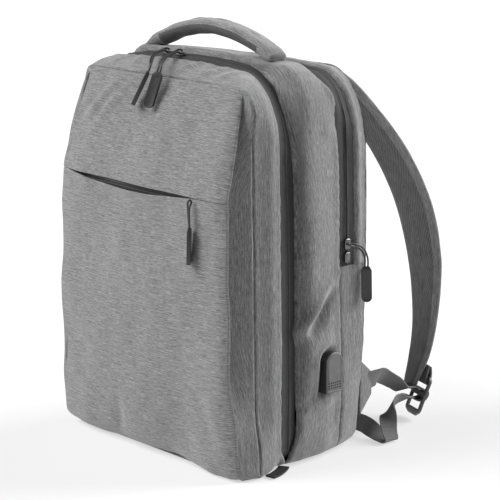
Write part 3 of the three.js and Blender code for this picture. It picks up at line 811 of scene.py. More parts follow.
for name, pull in PULLS.items():
    at = pull["slider"] - pull["up"] * (POCKET_DEEPER if name == "pocket" else 0.0)
    made = slider("zip_slider_" + name, at, pull["along"], pull["up"])
    dress(made, "plastic", [GLOSS], "slider_" + name)
lower = slider("zip_slider_side_lower", LOWER_SLIDER, (0, 0, -1), (1, 0, 0))
dress(lower, "plastic", [GLOSS], "slider_side_lower")
print("sliders:", len(PULLS) + 1)

# %% [markdown]
# ## Buckles and their loops
# A ladder buckle is a flat frame with two slots. The frame's corners are bevelled, bisect draws the
# slots' edges, and bridging the two faces of a slot cuts it through. The lower bar is drawn out into a
# lip to pull on. A short webbing loop round the upper bar is sewn into the strap's end.

# %% Buckles
BUCKLE = {"width": 32.0, "height": 46.0, "thick": 3.8, "bar": 6.0, "rail": 3.6, "corner": 6.0}
BUCKLE_MIDDLE = (-1.5, 4.5)
LOOP_WIDTH = 18.0
LOOP_ROUTE = [
    (36, -5), (27, -3.9), (19, -3), (15.2, -2.1), (14, 0),
    (15.2, 2.1), (19, 2.9), (27, 1.4), (35, -2.4),
]


def ladder_buckle(name, mirror):
    half_width = BUCKLE["width"] / 2
    half_height = BUCKLE["height"] / 2
    plate = start_box(name, (BUCKLE["width"], BUCKLE["height"], BUCKLE["thick"]))
    pick(plate, "EDGE", lambda middle, run: abs(run.z) > 0.9)
    bpy.ops.mesh.bevel(offset=BUCKLE["corner"] * MM, segments=5, affect="EDGES")
    leave_edit()
    slots = (
        (-half_height + BUCKLE["bar"], BUCKLE_MIDDLE[0]),
        (BUCKLE_MIDDLE[1], half_height - BUCKLE["bar"]),
    )
    inner = half_width - BUCKLE["rail"]
    cuts = [((0, y, 0), (0, 1, 0)) for slot in slots for y in slot]
    cuts += [((x, 0, 0), (1, 0, 0)) for x in (-inner, inner)]
    for place, normal in cuts:
        cut = {"plane_co": Vector(place) * MM, "plane_no": normal}
        edit(plate, (bpy.ops.mesh.bisect, cut))
    for low, high in slots:

        def in_slot(middle, normal):
            return abs(normal.z) > 0.9 and abs(middle.x) < inner - 0.1 and low < middle.y < high

        pick(plate, "FACE", in_slot)
        bpy.ops.mesh.bridge_edge_loops()
        leave_edit()
    pick(plate, "FACE", lambda middle, normal: normal.y < -0.9 and middle.y < 1 - half_height)
    bpy.ops.mesh.extrude_region_move(TRANSFORM_OT_translate={"value": (0, -2.5 * MM, 1.2 * MM)})
    bpy.ops.transform.resize(value=(0.75, 1, 0.6))
    leave_edit()
    soften(plate, 1.1, 3, 50)
    placed = np.column_stack([BUCKLE_WIDE, BUCKLE_UP, BUCKLE_OUT])
    axes = Matrix([list(row) for row in placed]).to_4x4()
    plate.data.transform(Matrix.Translation(Vector(BUCKLE_AT) * MM) @ axes)
    return mirror_piece(plate, mirror)


for side, mirror in SIDES.items():
    plate = ladder_buckle("ladder_buckle_" + side, mirror)
    dress(plate, "plastic", [GREY_PLASTIC], "buckle_" + side)
    route = [(in_buckle(up, out), BUCKLE_WIDE) for up, out in LOOP_ROUTE]
    loop, line = ribbon("sewn_loop_" + side, route, LOOP_WIDTH, WEBBING_THICK, mirror, count=60)
    dress(loop, "webbing", [WEBBING], "buckle_loop_" + side)
    print(plate.name, "has", len(plate.data.polygons), "faces")

# %% [markdown]
# ## The bag's outline
# All the walls round the bag follow one set of outlines, a row for each depth from front to back. A
# monotone curve joins the rows so that no wall overshoots. `on_bag` gives the place of any point of the
# ring at any depth: the base, the foot's round, the side, the top corner and the top, up one side and
# down the other.

# %% Outline
COLUMNS = ("y", "half", "shoulder", "foot", "top", "crown", "rx", "rz", "lx", "lz", "rf")
Y_SEAM = -70.0
Y_ZIP = (-35.0, -11.0)
Y_REAR_ZIP = (46.0, 68.0)
Y_BACK = 87.0
GAP = 0.3
CROSS_SEAM_Z = 215.0
SECTIONS = np.array(
    [
        [Y_SEAM, 152, 150, 155, 420, 2, 30, 36, 12, 14, 5],
        [-52, 152, 150, 153, 429, 3, 44, 54, 16, 20, 12],
        [Y_ZIP[0], 150, 147, 150, 434, 4, 60, 78, 24, 32, 22],
        [Y_ZIP[1], 150, 147, 150, 438, 4, 72, 96, 32, 42, 18],
        [-3, 153, 150, 151, 441.5, 4, 58, 76, 36, 46, 18],
        [6, 154, 151, 151, 442, 4, 50, 66, 40, 50, 19],
        [26, 154, 150, 151, 440, 4, 50, 64, 42, 54, 20],
        [Y_REAR_ZIP[0], 153, 149, 148, 431, 4, 48, 56, 44, 52, 21],
        [Y_REAR_ZIP[1], 152, 151, 145, 430, 3, 60, 84, 42, 48, 24],
        [Y_BACK, 152, 152, 141, 431, 3, 60, 90, 42, 48, 28],
    ]
)


def smooth(x, values, at):
    """Values of a table's column at new places, on a curve that never overshoots its rows."""
    step = np.diff(x)
    slope = np.diff(values) / step
    same_way = slope[:-1] * slope[1:] > 0
    total = np.where(same_way, slope[:-1] + slope[1:], 1.0)
    between = np.where(same_way, 2 * slope[:-1] * slope[1:] / total, 0)
    lean = np.concatenate([slope[:1], between, slope[-1:]])
    k = np.clip(np.searchsorted(x, at) - 1, 0, len(step) - 1)
    t = (at - x[k]) / step[k]
    rise = values[k + 1] - values[k]
    return (
        values[k]
        + rise * t * t * (3 - 2 * t)
        + step[k] * (t * (1 - t) ** 2 * lean[k] - t * t * (1 - t) * lean[k + 1])
    )


RING_STEPS = {"base": 16, "foot": 10, "low": 96, "high": 76, "corner": 44, "top": 40}
half_ring = [("base", 0.0)]
for stretch, steps in RING_STEPS.items():
    half_ring += [(stretch, (i + 1) / steps) for i in range(steps)]
ring = [(*stop, 1.0) for stop in half_ring] + [(*stop, -1.0) for stop in half_ring[-2::-1]]
RING_PART = np.array([stop[0] for stop in ring])
RING_SHARE = np.array([stop[1] for stop in ring])
RING_SIDE = np.array([stop[2] for stop in ring])


def on_bag(y, rows=slice(None), sink=0.0):
    """Points at depths y[row, column] on the chosen rows of the ring, sunk below the cloth's outside."""
    s = {name: smooth(SECTIONS[:, 0], SECTIONS[:, i], y) for i, name in enumerate(COLUMNS)}
    part = RING_PART[rows][:, None]
    t = RING_SHARE[rows][:, None]
    side = RING_SIDE[rows][:, None]
    foot, shoulder, half, rf = (s[name] - sink for name in ("foot", "shoulder", "half", "rf"))
    rx = np.where(side > 0, s["rx"], s["lx"]) - sink
    corner_height = np.where(side > 0, s["rz"], s["lz"])
    rz = corner_height - sink
    z_corner = s["top"] - s["crown"] - corner_height
    angle = t * math.pi / 2
    z_side = np.where(
        part == "low",
        s["rf"] + (CROSS_SEAM_Z - s["rf"]) * t,
        CROSS_SEAM_Z + (z_corner - CROSS_SEAM_Z) * t,
    )
    up = (z_side - s["rf"]) / (z_corner - s["rf"])
    x_side = foot + (shoulder - foot) * up + 4 * up * (1 - up) * (half - (foot + shoulder) / 2)
    parts = [part == name for name in ("base", "foot", "corner", "top")]
    x = np.select(
        parts,
        [
            (foot - rf) * t,
            foot - rf + rf * np.sin(angle),
            shoulder - rx + rx * np.cos(angle),
            (shoulder - rx) * (1 - t),
        ],
        x_side,
    )
    z = np.select(
        parts,
        [
            sink + 0 * y,
            s["rf"] - rf * np.cos(angle),
            z_corner + rz * np.sin(angle),
            s["top"] - sink - s["crown"] * (1 - t) ** 2,
        ],
        z_side,
    )
    return np.stack([x * side, y, z], axis=-1)


def side_outlines(y):
    """The outline at one depth from foot to top: 1 is the right side and -1 the left."""
    outline = on_bag(np.full((len(ring), 1), y))[:, 0]
    climb = slice(RING_STEPS["base"], len(half_ring) - RING_STEPS["top"])
    return {1: outline[climb], -1: outline[::-1][climb]}


print("the ring has", len(ring), "points")

# %% [markdown]
# ## How cloth behaves at a seam and in a fold
# Sewn cloth turns in at its seams, puckers a little beside them, and folds where it is pulled. Each of
# these is a small height that is added along the surface's normal, as a sculptor's brush would. Waves
# with fixed seeds keep every run the same.

# %% Seams, puckers and folds


def ease(t):
    """0 below 0, 1 above 1 and a soft step between them."""
    t = np.clip(t, 0, 1)
    return t * t * (3 - 2 * t)


def bump_at(distance, width):
    """1 at no distance, fading over a width."""
    return np.exp(-((distance / width) ** 2))


def turn_in(distance, radius):
    """How far cloth dips, at a distance from a seam, where its edge is rolled in round a radius."""
    share = np.clip(1 - distance / radius, 0, 1)
    return radius * (1 - np.sqrt(1 - share**2))


def ripple(a, b, size, seed):
    """Unevenness of about one unit, from a few waves of about a size with fixed directions and phases."""
    draw = np.random.default_rng(seed)
    total = np.zeros(np.broadcast(a, b).shape)
    for wave in range(7):
        angle, phase = draw.uniform(0, 2 * math.pi, 2)
        length = size * draw.uniform(0.6, 1.8)
        total += np.sin(2 * math.pi * (a * math.cos(angle) + b * math.sin(angle)) / length + phase)
    return total / 3


def pucker(along, distance, size, reach, seed):
    """Short waves along a seam that die out at a reach from it."""
    return ripple(along, 0 * along, size, seed) * np.exp(-distance / reach)


def fold(points, way, width):
    """1 on a line through places in millimetres and 0 away from it, fading at the line's ends."""
    way = np.asarray(way, float)
    lengths = np.linalg.norm(np.diff(way, axis=0), axis=1)
    starts = np.concatenate([[0], np.cumsum(lengths)])
    nearest = np.full(points.shape[:-1], np.inf)
    share = np.zeros(points.shape[:-1])
    for start, end, length, done in zip(way, way[1:], lengths, starts):
        run = (end - start) / length
        along = np.clip((points - start) @ run, 0, length)
        distance = np.linalg.norm(points - start - along[..., None] * run, axis=-1)
        closer = distance < nearest
        nearest = np.where(closer, distance, nearest)
        share = np.where(closer, (done + along) / starts[-1], share)
    return bump_at(nearest, width) * np.sin(math.pi * np.clip(share, 0.04, 0.96)) ** 0.6


def columns_across(width, step=3.0):
    """Shares of a strip's width, close together at both edges where it is rolled in."""
    fine = np.array([0, 0.35, 0.8, 1.4, 2.1, 3.0, 4.2])
    count = max(2, int((width - 2 * fine[-1]) / step))
    middle = np.linspace(fine[-1], width - fine[-1], count + 1)[1:-1]
    return np.concatenate([fine, middle, (width - fine)[::-1]]) / width


CLOTH_THICK = 1.6
LOWEST = 0.1


def raised(points, height):
    """Points moved by a height along the surface's normal."""
    return points + outward(points) * height[..., None]


def middle_run(points):
    """Distance along the middle column of a grid, for every column."""
    along = run_length(points, 0)
    return along[:, along.shape[1] // 2][:, None] + 0 * along


def sew(name, points, threads, closed=False, thick=CLOTH_THICK):
    """A cloth wall from a shaped grid: closed where it is a ring, thickened inwards, shaded smooth."""
    wall = lay_blank(name, points, threads)
    if closed:
        weld(wall)
    apply_modifier(wall, "SOLIDIFY", thickness=thick * MM, offset=-1.0)
    return smooth_by_angle(wall, 55)


print("seams and folds are ready")

# %% [markdown]
# ## Walls round the bag
# Four strips of cloth and two zip tapes go round the bag like hoops: the band round the front
# compartment, the main gusset, the rear gusset above and below its cross seam, and the tapes between
# them. The four strips are the same kind of piece, so one function lays a strip between two depths, rolls
# its edges in and adds its folds. The tapes come after them.

# %% Strips
ALL_ROUND = np.arange(len(ring))
ABOVE_SEAM = np.flatnonzero(
    np.isin(RING_PART, ["high", "corner", "top"]) | ((RING_PART == "low") & (RING_SHARE == 1))
)
below = np.flatnonzero(np.isin(RING_PART, ["base", "foot", "low"]))
first_left = int(np.argmax(RING_SIDE[below] < 0))
BELOW_SEAM = np.concatenate([below[first_left:-1], below[:first_left]])
ROW_Z = on_bag(np.zeros((len(ring), 1)))[:, 0, 2]
CORNER_START = ROW_Z[(RING_PART == "high") & (RING_SHARE == 1)].min()
CORNER = np.select(
    [RING_PART == "corner", RING_PART == "top"],
    [RING_SHARE, 1 + 0.8 * RING_SHARE],
    np.minimum((ROW_Z - CORNER_START) / 96, 0),
)


def strip(name, rows, start, end, rolls, sculpt, node, seed):
    """Cloth between two depths along rows of the ring, its edges rolled in by two radii."""
    start = np.broadcast_to(start, len(ring))[rows][:, None]
    end = np.broadcast_to(end, len(ring))[rows][:, None]
    width = float((end - start).max())
    y = start + (end - start) * columns_across(width, 2.2)[None]
    points = on_bag(y, rows)
    across = run_length(points, 1)
    from_back = across[:, -1:] - across
    along = middle_run(points)
    height = -turn_in(across, rolls[0]) - turn_in(from_back, rolls[1])
    height += 0.45 * pucker(along, across, 11, 6, seed) + 0.45 * pucker(along, from_back, 12, 6, seed + 1)
    height += 0.5 * ripple(along, across, 90, seed + 2)
    height *= np.clip(points[..., 2] / 12, 0.15, 1)
    height += sculpt(points, across, from_back)
    points = raised(points, height)
    points[..., 2] = np.maximum(points[..., 2], LOWEST)
    area, flat = cloth_area(points)
    threads = np.stack([along, across], axis=-1)
    wall = sew(name, points, threads, closed=len(rows) == len(ring))
    dress(wall, "cloth", [CLOTH], node)
    declare_sheet(wall, flat)


def seam_sink(z):
    """How far the seam between the front pocket and the band is drawn in on the sides."""
    return 6.0 * ease((z - 20) / 60) * ease((412 - z) / 50)


def band_folds(points, across, from_back):
    """A crease at the front seam, a raised rim beside the zip, and puckers on top behind the pulls."""
    share = across / (across + from_back)
    total = 0.8 * bump_at(from_back - 4, 3) - 2.0 * bump_at(across, 1.2)
    total = total * ease(points[..., 2] / 25) - seam_sink(points[..., 2]) * (1 - ease(share / 0.75))
    total += 0.9 * bump_at(across, 1.2) * ease((points[..., 2] - 400) / 14)
    for x, lean in ((17, 9), (44, -8), (61, 10), (86, 9), (-75, -8), (-104, 7)):
        total += 2.8 * fold(points, [(x - lean, -62, 425), (x, -48, 431), (x + lean, -37, 433)], 5)
    return total


PORT = {
    "y": 31.4, "foot": 78.0, "spring": 113.0, "half": 11.9,
    "rise": 11.0, "seat": 144.2, "proud": 18.0,
}


def beyond_port(points):
    """Distance outside the charging port's arched outline on the right wall."""
    y = points[..., 1] - PORT["y"]
    z = points[..., 2]
    beside = np.maximum(np.abs(y) - PORT["half"], 0)
    arch = np.hypot(y, (z - PORT["spring"]) * PORT["half"] / PORT["rise"]) - PORT["half"]
    straight = np.hypot(beside, np.maximum(PORT["foot"] - z, 0))
    distance = np.where(z > PORT["spring"], np.maximum(arch, 0), straight)
    return np.where(points[..., 0] > 0, distance, 999.0)


def gusset_folds(points, across, from_back):
    """The slack side wall: drawn in at its front seam, with a slanting fold and a pit before the port."""
    y, z = points[..., 1], points[..., 2]
    share = across / (across + from_back)
    wall = ease((z - 40) / 80) * ease((400 - z) / 80)
    corner = ease((points[..., 0] - 30) / 60) * ease((z - 330) / 50) * ease((446 - z) / 12)
    total = -(4.0 * wall + 7.0 * corner) * (1 - ease(across / 15)) ** 1.5
    total += 4.5 * wall * np.sin(math.pi * share**0.6)
    total += 1.2 * bump_at(from_back - 3, 5) * ease((z - 20) / 40)
    total -= 3.5 * corner * bump_at(from_back, 9) * (1 - 1.4 * bump_at(z - 405, 13))
    total += 2.5 * bump_at(across - 6, 4) * ease((z - 418) / 14) * (1 - 0.6 * corner)
    ridge = [(153.2, 43.6, 210.8), (153.9, 24, 188.4), (153.6, 3.8, 169.5), (149, -13.7, 151.6)]
    valley = [(153.5, 36, 200.9), (153.8, 14, 162.2), (152.9, -2.7, 142.6)]
    total += 6.0 * fold(points, ridge, 8) - 9.5 * fold(points, valley, 8)
    crease = [(149.8, -10.9, 58.8), (152.3, 4.6, 64.2), (152.5, 22, 62), (152, 42, 66)]
    total += 2.2 * fold(points, crease, 4.5) - 1.8 * fold(points - [0, 0, 9], crease, 5)
    flip = np.array([-1, 1, 1])
    total += 2.5 * fold(points * flip, ridge, 7) - 4.0 * fold(points * flip, valley, 9)
    outside = beyond_port(points)
    before = np.clip((40 - y) / 16, 0, 1) * ease((z - 64) / 14)
    total += (1.5 * bump_at(outside - 9, 3) - 6.0 * bump_at(outside, 5)) * before
    for x, lean in ((-92, 3), (-47, -4), (5, 4), (50, 5), (68, 4)):
        total -= 1.5 * fold(points, [(x, -11, 436), (x + lean, 0, 441)], 2.2)
    return total


def rear_ridge(points, across, from_back):
    """The padded roll of the rear gusset behind its zip."""
    return 2.0 * bump_at(across - 6, 4) - 1.5 * ease((across - 4) / 16)


def sunk_front(points, across, from_back):
    """The lower rear gusset dips under the main gusset's edge."""
    return -1.5 * bump_at(across, 3) * ease(points[..., 2] / 25)


HALF_ZIP = (Y_ZIP[1] - Y_ZIP[0]) / 2
BAND_END = Y_ZIP[0] - GAP / 2 + HALF_ZIP * ease((20 - ROW_Z) / 20)
MAIN_START = Y_ZIP[1] + GAP / 2 - HALF_ZIP * ease((42 - ROW_Z) / 42)
OVERHANG = 8 * bump_at(CORNER - 0.35, 0.3) + 3.5 * bump_at(ROW_Z - 150, 10)
MAIN_START = MAIN_START - np.where(RING_SIDE > 0, OVERHANG, 0)
REAR_LINE = Y_REAR_ZIP[0] + 8 * ease((210 - ROW_Z) / 185)
PULLED = 6 * bump_at(CORNER - 0.72, 0.28) - 2.5 * bump_at(CORNER - 0.3, 0.13)
REAR_LINE = REAR_LINE - np.where(RING_SIDE > 0, PULLED, 0)
strip("sewn_front_band", ALL_ROUND, Y_SEAM, BAND_END, (2.6, 2.6), band_folds, "front_band", 11)
main_end = REAR_LINE - GAP / 2
upper_start = Y_REAR_ZIP[1] + GAP / 2
lower_start = REAR_LINE + GAP / 2
strip("sewn_main_gusset", ALL_ROUND, MAIN_START, main_end, (4.5, 1.6), gusset_folds, "main_gusset", 21)
strip("sewn_rear_upper", ABOVE_SEAM, upper_start, Y_BACK, (3.0, 1.0), rear_ridge, "rear_gusset_upper", 31)
strip("sewn_rear_lower", BELOW_SEAM, lower_start, Y_BACK, (2.0, 1.0), sunk_front, "rear_gusset_lower", 41)

# %% [markdown]
# ## Zip tapes
# These zips are sewn in with the coil inside, so the outside shows two smooth tapes that meet in a line,
# each with a raised ridge where the coil is sewn on. The tapes lie a little below the cloth, and on the
# sides the main tape leans in under the gusset. Ridges and the line between them are modelled, because
# they catch the light; the weave is left to the finish.

# %% Zip tapes
TAPE_SINK = 1.2
TAPE_THICK = 1.1
TAPE_UNDER = 8.0


def tape_relief(across, from_back):
    """Two ridges beside a fine line down the middle of a tape, and a seam further out on each side."""
    middle = np.abs(across - from_back) / 2
    return bump_at(middle - 2.2, 1.1) - 0.9 * bump_at(middle, 0.5) - 0.35 * bump_at(middle - 6.5, 0.6)


def tape_strip(name, rows, limits, node, deeper):
    """A tape between two depths. deeper is how much further its rear edge lies in than its front edge."""
    start, end = limits[0] + GAP / 2, limits[1] - GAP / 2
    ridge = np.array([0.4, 0.8, 1.4, 2.0, 2.6, 3.4])
    middle = np.concatenate([-ridge[::-1], [0], ridge])
    side = np.linspace(0, (end - start) / 2 - 4.2, 6)
    runs = [[start - TAPE_UNDER], start + side, (start + end) / 2 + middle, end - side[::-1]]
    offsets = np.concatenate(runs)
    y = np.broadcast_to(offsets[None], (len(rows), len(offsets)))
    lean = (y - start) / (end - start)
    sink = TAPE_SINK + deeper[rows][:, None] * (0.15 + np.maximum(lean, 0)) + 3.0 * (lean < 0)
    points = on_bag(y, rows, sink)
    across = run_length(points, 1) - TAPE_UNDER
    from_back = across[:, -1:] - across
    along = middle_run(points)
    height = tape_relief(across, from_back) + 0.25 * ripple(along, across, 40, 5)
    points = raised(points, height)
    tape = sew(name, points, np.stack([along, across], axis=-1), thick=TAPE_THICK)
    dress(tape, "tape", [TAPE], node)
    print(name, "is", round(float(along.max())), "mm long")


on_floor = (RING_PART == "base") | ((RING_PART == "foot") & (RING_SHARE <= 0.3))
ON_ZIP = np.flatnonzero(~on_floor)
SIDE_LEAN = 5.0 * (1 - ease((CORNER - 0.75) / 0.35)) + 4.0 * ease((30 - ROW_Z) / 30)
tape_strip("main_zip", ON_ZIP, Y_ZIP, "main_zip_tape", SIDE_LEAN)
tape_strip("rear_zip", ABOVE_SEAM, Y_REAR_ZIP, "rear_zip_tape", 0 * SIDE_LEAN)

# %% [markdown]
# ## Front panel
# The front is one flat cut of cloth with a slit for the pocket's zip. It is nearly plane, stands out a
# little in the middle and turns away towards its right edge. The pocket is empty, so the slit's lower lip
# hangs open. A few soft folds come from the way the bag is stuffed. Above and below the slit it is two
# grids on one surface, with a hem turned in at each side, and the upper one has a seam allowance tucked
# under the band.

# %% Front panel
SLIT = {"z": 305.0, "sag": 7.0, "from": -138.0, "to": 106.0}
PANEL = np.array(
    [
        [0.4, -138, -93, 146, -89, 0],
        [5, -147, -101, 150, -97, 1],
        [16, -150, -109, 150.5, -101, 3],
        [61, -151, -112, 150, -105, 6],
        [112, -150, -111, 149, -109, 7],
        [195, -149, -109.5, 149, -112, 7],
        [258, -148, -108, 149, -112.6, 6],
        [SLIT["z"], -148, -106.5, 148, -112.6, 5],
        [335, -147, -100, 145, -104, 5],
        [365, -146, -91, 141, -93, 4],
        [395, -144.5, -81.5, 136, -81.5, 3],
        [419, -141, -71.2, 129, -71.2, 1],
    ]
)
panel_run = run_length(PANEL[:, None, :3], 0)[:, 0]
dense_run = np.linspace(0, panel_run[-1], 900)
dense_panel = np.stack([smooth(panel_run, column, dense_run) for column in PANEL.T], axis=-1)
panel_row = {name: dense_panel[:, i] for i, name in enumerate(("z", "xl", "yl", "xr", "yr", "crown"))}


def panel_at(z, name):
    return np.interp(z, panel_row["z"], panel_row[name])


def edge_roll(z, edge):
    """Radius of the panel's rolled side edge, smaller where it runs out at the top and the base."""
    return np.clip(0.4 * (Y_SEAM - panel_at(z, edge)), 1.0, 1.0 + 0.8 * ease(z / 30))


def slit_sag(x):
    t = np.clip((x - SLIT["from"]) / (SLIT["to"] - SLIT["from"]), 0, 1)
    return SLIT["sag"] * np.sin(math.pi * t) ** 1.2


PANEL_FOLDS = [
    (2.8, 7.0, (-63, 414.5), (-102, 382), (-122, 358)),
    (-1.3, 6.0, (-72, 416), (-112, 384), (-132, 362)),
    (2.4, 7.0, (-42, 415), (-74, 384), (-96, 352)),
    (-2.0, 5.0, (-52, 414), (-88, 383), (-108, 354)),
    (-1.6, 7.0, (-36, 72), (-37, 41), (-48, 8)),
    (-1.8, 13.0, (40, 26), (70, 36), (100, 30)),
    (0.9, 8.0, (120, 120), (126, 70), (134, 26)),
    (-0.9, 9.0, (96, 110), (108, 66), (122, 22)),
]


def panel_folds(points):
    """Folds under the top left corner and dents near the base: a height, a width and places (x, z)."""
    flat = points * np.array([1, 0, 1])
    lines = [(height, width, [(x, 0, z) for x, z in way]) for height, width, *way in PANEL_FOLDS]
    return sum(height * fold(flat, line, width) for height, width, line in lines)


def on_panel(rows, u):
    """Points of the front before any fold, at shares u of its width."""
    x = rows["xl"] + (rows["xr"] - rows["xl"]) * u
    y = rows["yl"] + (rows["yr"] - rows["yl"]) * u - rows["crown"] * np.sin(math.pi * u) ** 0.8
    return np.stack([x, y, rows["z"] + 0 * u], axis=-1)


PANEL_TOP = 419.0
PANEL_FOOT = 0.4
PANEL_HEM = np.array([2.5, 1.2, 0.0])
HEM_THREAD = 3.0
TUCKED_UNDER = [((0, 1.5, -5), 5), ((0, 11, -6), 15)]


def panel_piece(name, low, high, lips, node, seed):
    """The front between two heights; lips are the roll radii of its lower and upper edges."""
    edges = np.interp([low, high], panel_row["z"], dense_run)
    run = edges[0] + (edges[1] - edges[0]) * columns_across(edges[1] - edges[0], 2.9)
    rows = {key: np.interp(run, dense_run, values)[:, None] for key, values in panel_row.items()}
    u = columns_across(300.0, 2.9)[None]
    points = on_panel(rows, u)
    x = points[..., 0]
    across, along = run_length(points, 1), run_length(points, 0)
    from_right = across[:, -1:] - across
    height = -turn_in(across, edge_roll(rows["z"], "yl"))
    height -= turn_in(from_right, edge_roll(rows["z"], "yr"))
    height -= turn_in(along, lips[0]) + turn_in(along[-1:] - along, lips[1])
    slack = panel_folds(points) + 2.0 * ripple(x, points[..., 2], 110, 51)
    height += slack * ease((PANEL_TOP - rows["z"]) / 12)
    height -= 4.0 * np.clip(1 - from_right / 16, 0, 1) ** 2 + bump_at(across, 14)
    height += 0.35 * ripple(x, points[..., 2], 34, seed + 1)
    height += 0.3 * pucker(points[..., 2], from_right, 14, 9, seed + 2)
    points = raised(points, height)
    if high == SLIT["z"]:
        hang = np.clip(1 - (SLIT["z"] - rows["z"]) / 45, 0, 1) ** 2
        points[..., 2] -= (GAP + slit_sag(x)) * hang
        points[..., 1] -= 0.35 * slit_sag(x) * hang
    points[..., 2] = np.maximum(points[..., 2], LOWEST)
    area, flat = cloth_area(points)
    threads = np.stack([x, along], axis=-1)
    left_hem, right_hem = points[:, :1] + PANEL_HEM, points[:, -1:] + PANEL_HEM * [-1, 1, 1]
    points = np.concatenate([left_hem, points, right_hem], axis=1)
    wider = np.array([HEM_THREAD, 0])
    threads = np.concatenate([threads[:, :1] - wider, threads, threads[:, -1:] + wider], axis=1)
    if high > SLIT["z"]:
        points = np.concatenate([points, *(points[-1:] + offset for offset, run in TUCKED_UNDER)])
        threads = np.concatenate([threads, *(threads[-1:] + [0, run] for offset, run in TUCKED_UNDER)])
    wall = dress(sew(name, points, threads), "cloth", [CLOTH], node)
    declare_sheet(wall, flat)


panel_piece("sewn_panel_lower", PANEL_FOOT, SLIT["z"], (1.0, 1.2), "front_panel_lower", 51)
panel_piece("sewn_panel_upper", SLIT["z"], PANEL_TOP, (1.0, 2.0), "front_panel_upper", 52)

# %% [markdown]
# ## Tape behind the slit
# The pocket's zip is sewn behind the slit, so only a dark strip of tape shows where the lower lip hangs
# open. It follows the panel's surface a few millimetres behind it.

# %% Pocket tape
TAPE_BEHIND = 3.5


def pocket_tape():
    u = np.linspace(0.04, 0.87, 90)[None]
    z = np.linspace(SLIT["z"] - 20, SLIT["z"] + 8, 22)[:, None]
    points = on_panel({key: panel_at(z, key) for key in panel_row}, u)
    points[..., 1] += TAPE_BEHIND
    from_line = np.abs(points[..., 2] - (SLIT["z"] - 4))
    ridge = 1.1 * bump_at(from_line - 1.8, 0.9) - 0.8 * bump_at(from_line, 0.6)
    points = raised(points, ridge)
    tape = sew("pocket_zip", points, points[..., [0, 2]], thick=TAPE_THICK)
    return dress(tape, "tape", [TAPE], "pocket_zip_tape")


print(pocket_tape().name, "is behind the slit")

# %% [markdown]
# ## Pocket gusset
# Between the panel's edge and the seam with the front band, a narrow gusset gives the pocket its depth.
# The empty pocket lets it fall inwards in a deep groove beside the panel, and it bulges a little near the
# base. It runs down one side, under the base and up the other, as one strip between two edge lines.

# %% Pocket gusset


def pocket_gusset():
    back = Y_SEAM - GAP
    heights = np.concatenate([np.linspace(417.6, 14, 150), [11, 8, 6, 4.5, 3, 2, 1.2, 0.6]])
    outlines = side_outlines(Y_SEAM)

    def side(sign):
        edge_x, edge_y = ("xr", "yr") if sign > 0 else ("xl", "yl")
        front_x = panel_at(heights, edge_x) - sign * (2.0 + 4.0 * ease((heights - 4) / 30))
        front_y = panel_at(heights, edge_y) + edge_roll(heights, edge_y) + 1.5
        front = np.stack([front_x, np.minimum(front_y, back - 0.8), heights], axis=-1)
        rear_x = np.interp(heights, outlines[sign][:, 2], outlines[sign][:, 0])
        rear_x = rear_x - sign * seam_sink(heights)
        rear = np.stack([rear_x, np.full_like(heights, back), heights], axis=-1)
        dip = np.minimum(-1.5 + 14.5 * ease((heights - 45) / 110), 0.36 * (rear[:, 1] - front[:, 1]))
        dip = dip * ease(heights / 15)
        inward = np.tile([-sign, 0.0, 0.0], (len(heights), 1))
        return front, rear, inward, dip

    def under():
        t = np.linspace(0, 1, 60)
        front = np.stack([-138 + 284 * t, -92.5 + 4 * t, np.full_like(t, 0.5)], axis=-1)
        rear = np.stack([-150 + 300 * t, np.full_like(t, back), np.full_like(t, 0.3)], axis=-1)
        return front, rear, np.tile([0.0, 0.0, 1.0], (len(t), 1)), 0 * t

    left, base, right = side(-1), under(), side(1)
    right = [part[::-1] for part in right]
    front, rear, inward, dip = (np.concatenate(parts) for parts in zip(left, base, right))
    share = columns_across(38.0, 2.6)[None, :, None]
    points = front[:, None] * (1 - share) + rear[:, None] * share
    sag = np.sin(math.pi * share[..., 0] ** 0.42)
    points = points + inward[:, None] * (dip[:, None] * sag)[..., None]
    across, middle = run_length(points, 1), middle_run(points)
    from_seam = across[:, -1:] - across
    height = -turn_in(from_seam, 2.6) + 0.5 * pucker(middle, from_seam, 13, 7, 61)
    height -= 2.0 * bump_at(from_seam, 1.2) * np.clip(points[..., 2] / 30, 0, 1)
    height += 0.8 * ripple(middle, across, 70, 62) * np.clip(points[..., 2] / 30, 0, 1)
    height *= np.clip(across[:, -1:] / 14, 0, 1)
    points = raised(points, height)
    points[..., 2] = np.maximum(points[..., 2], LOWEST)
    area, flat = cloth_area(points)
    wall = sew("sewn_pocket_gusset", points, np.stack([middle, across], axis=-1))
    dress(wall, "cloth", [CLOTH], "front_pocket_gusset")
    declare_sheet(wall, flat)


pocket_gusset()

# %% [markdown]
# ## Padding
# Straps, handle and back are foam in a sewn cover. On the handle and the back the seams hold still while
# the cover swells between them, so the cloth solver is the right tool: the cover is pumped up with the
# seams pinned, its movement is scaled to a cap, and the result is kept as the mesh. The straps are long
# and bowed, and the solver would crease their mesh, so their section is drawn swollen instead.

# %% Helper for padded covers
SIM_FRAMES = 20


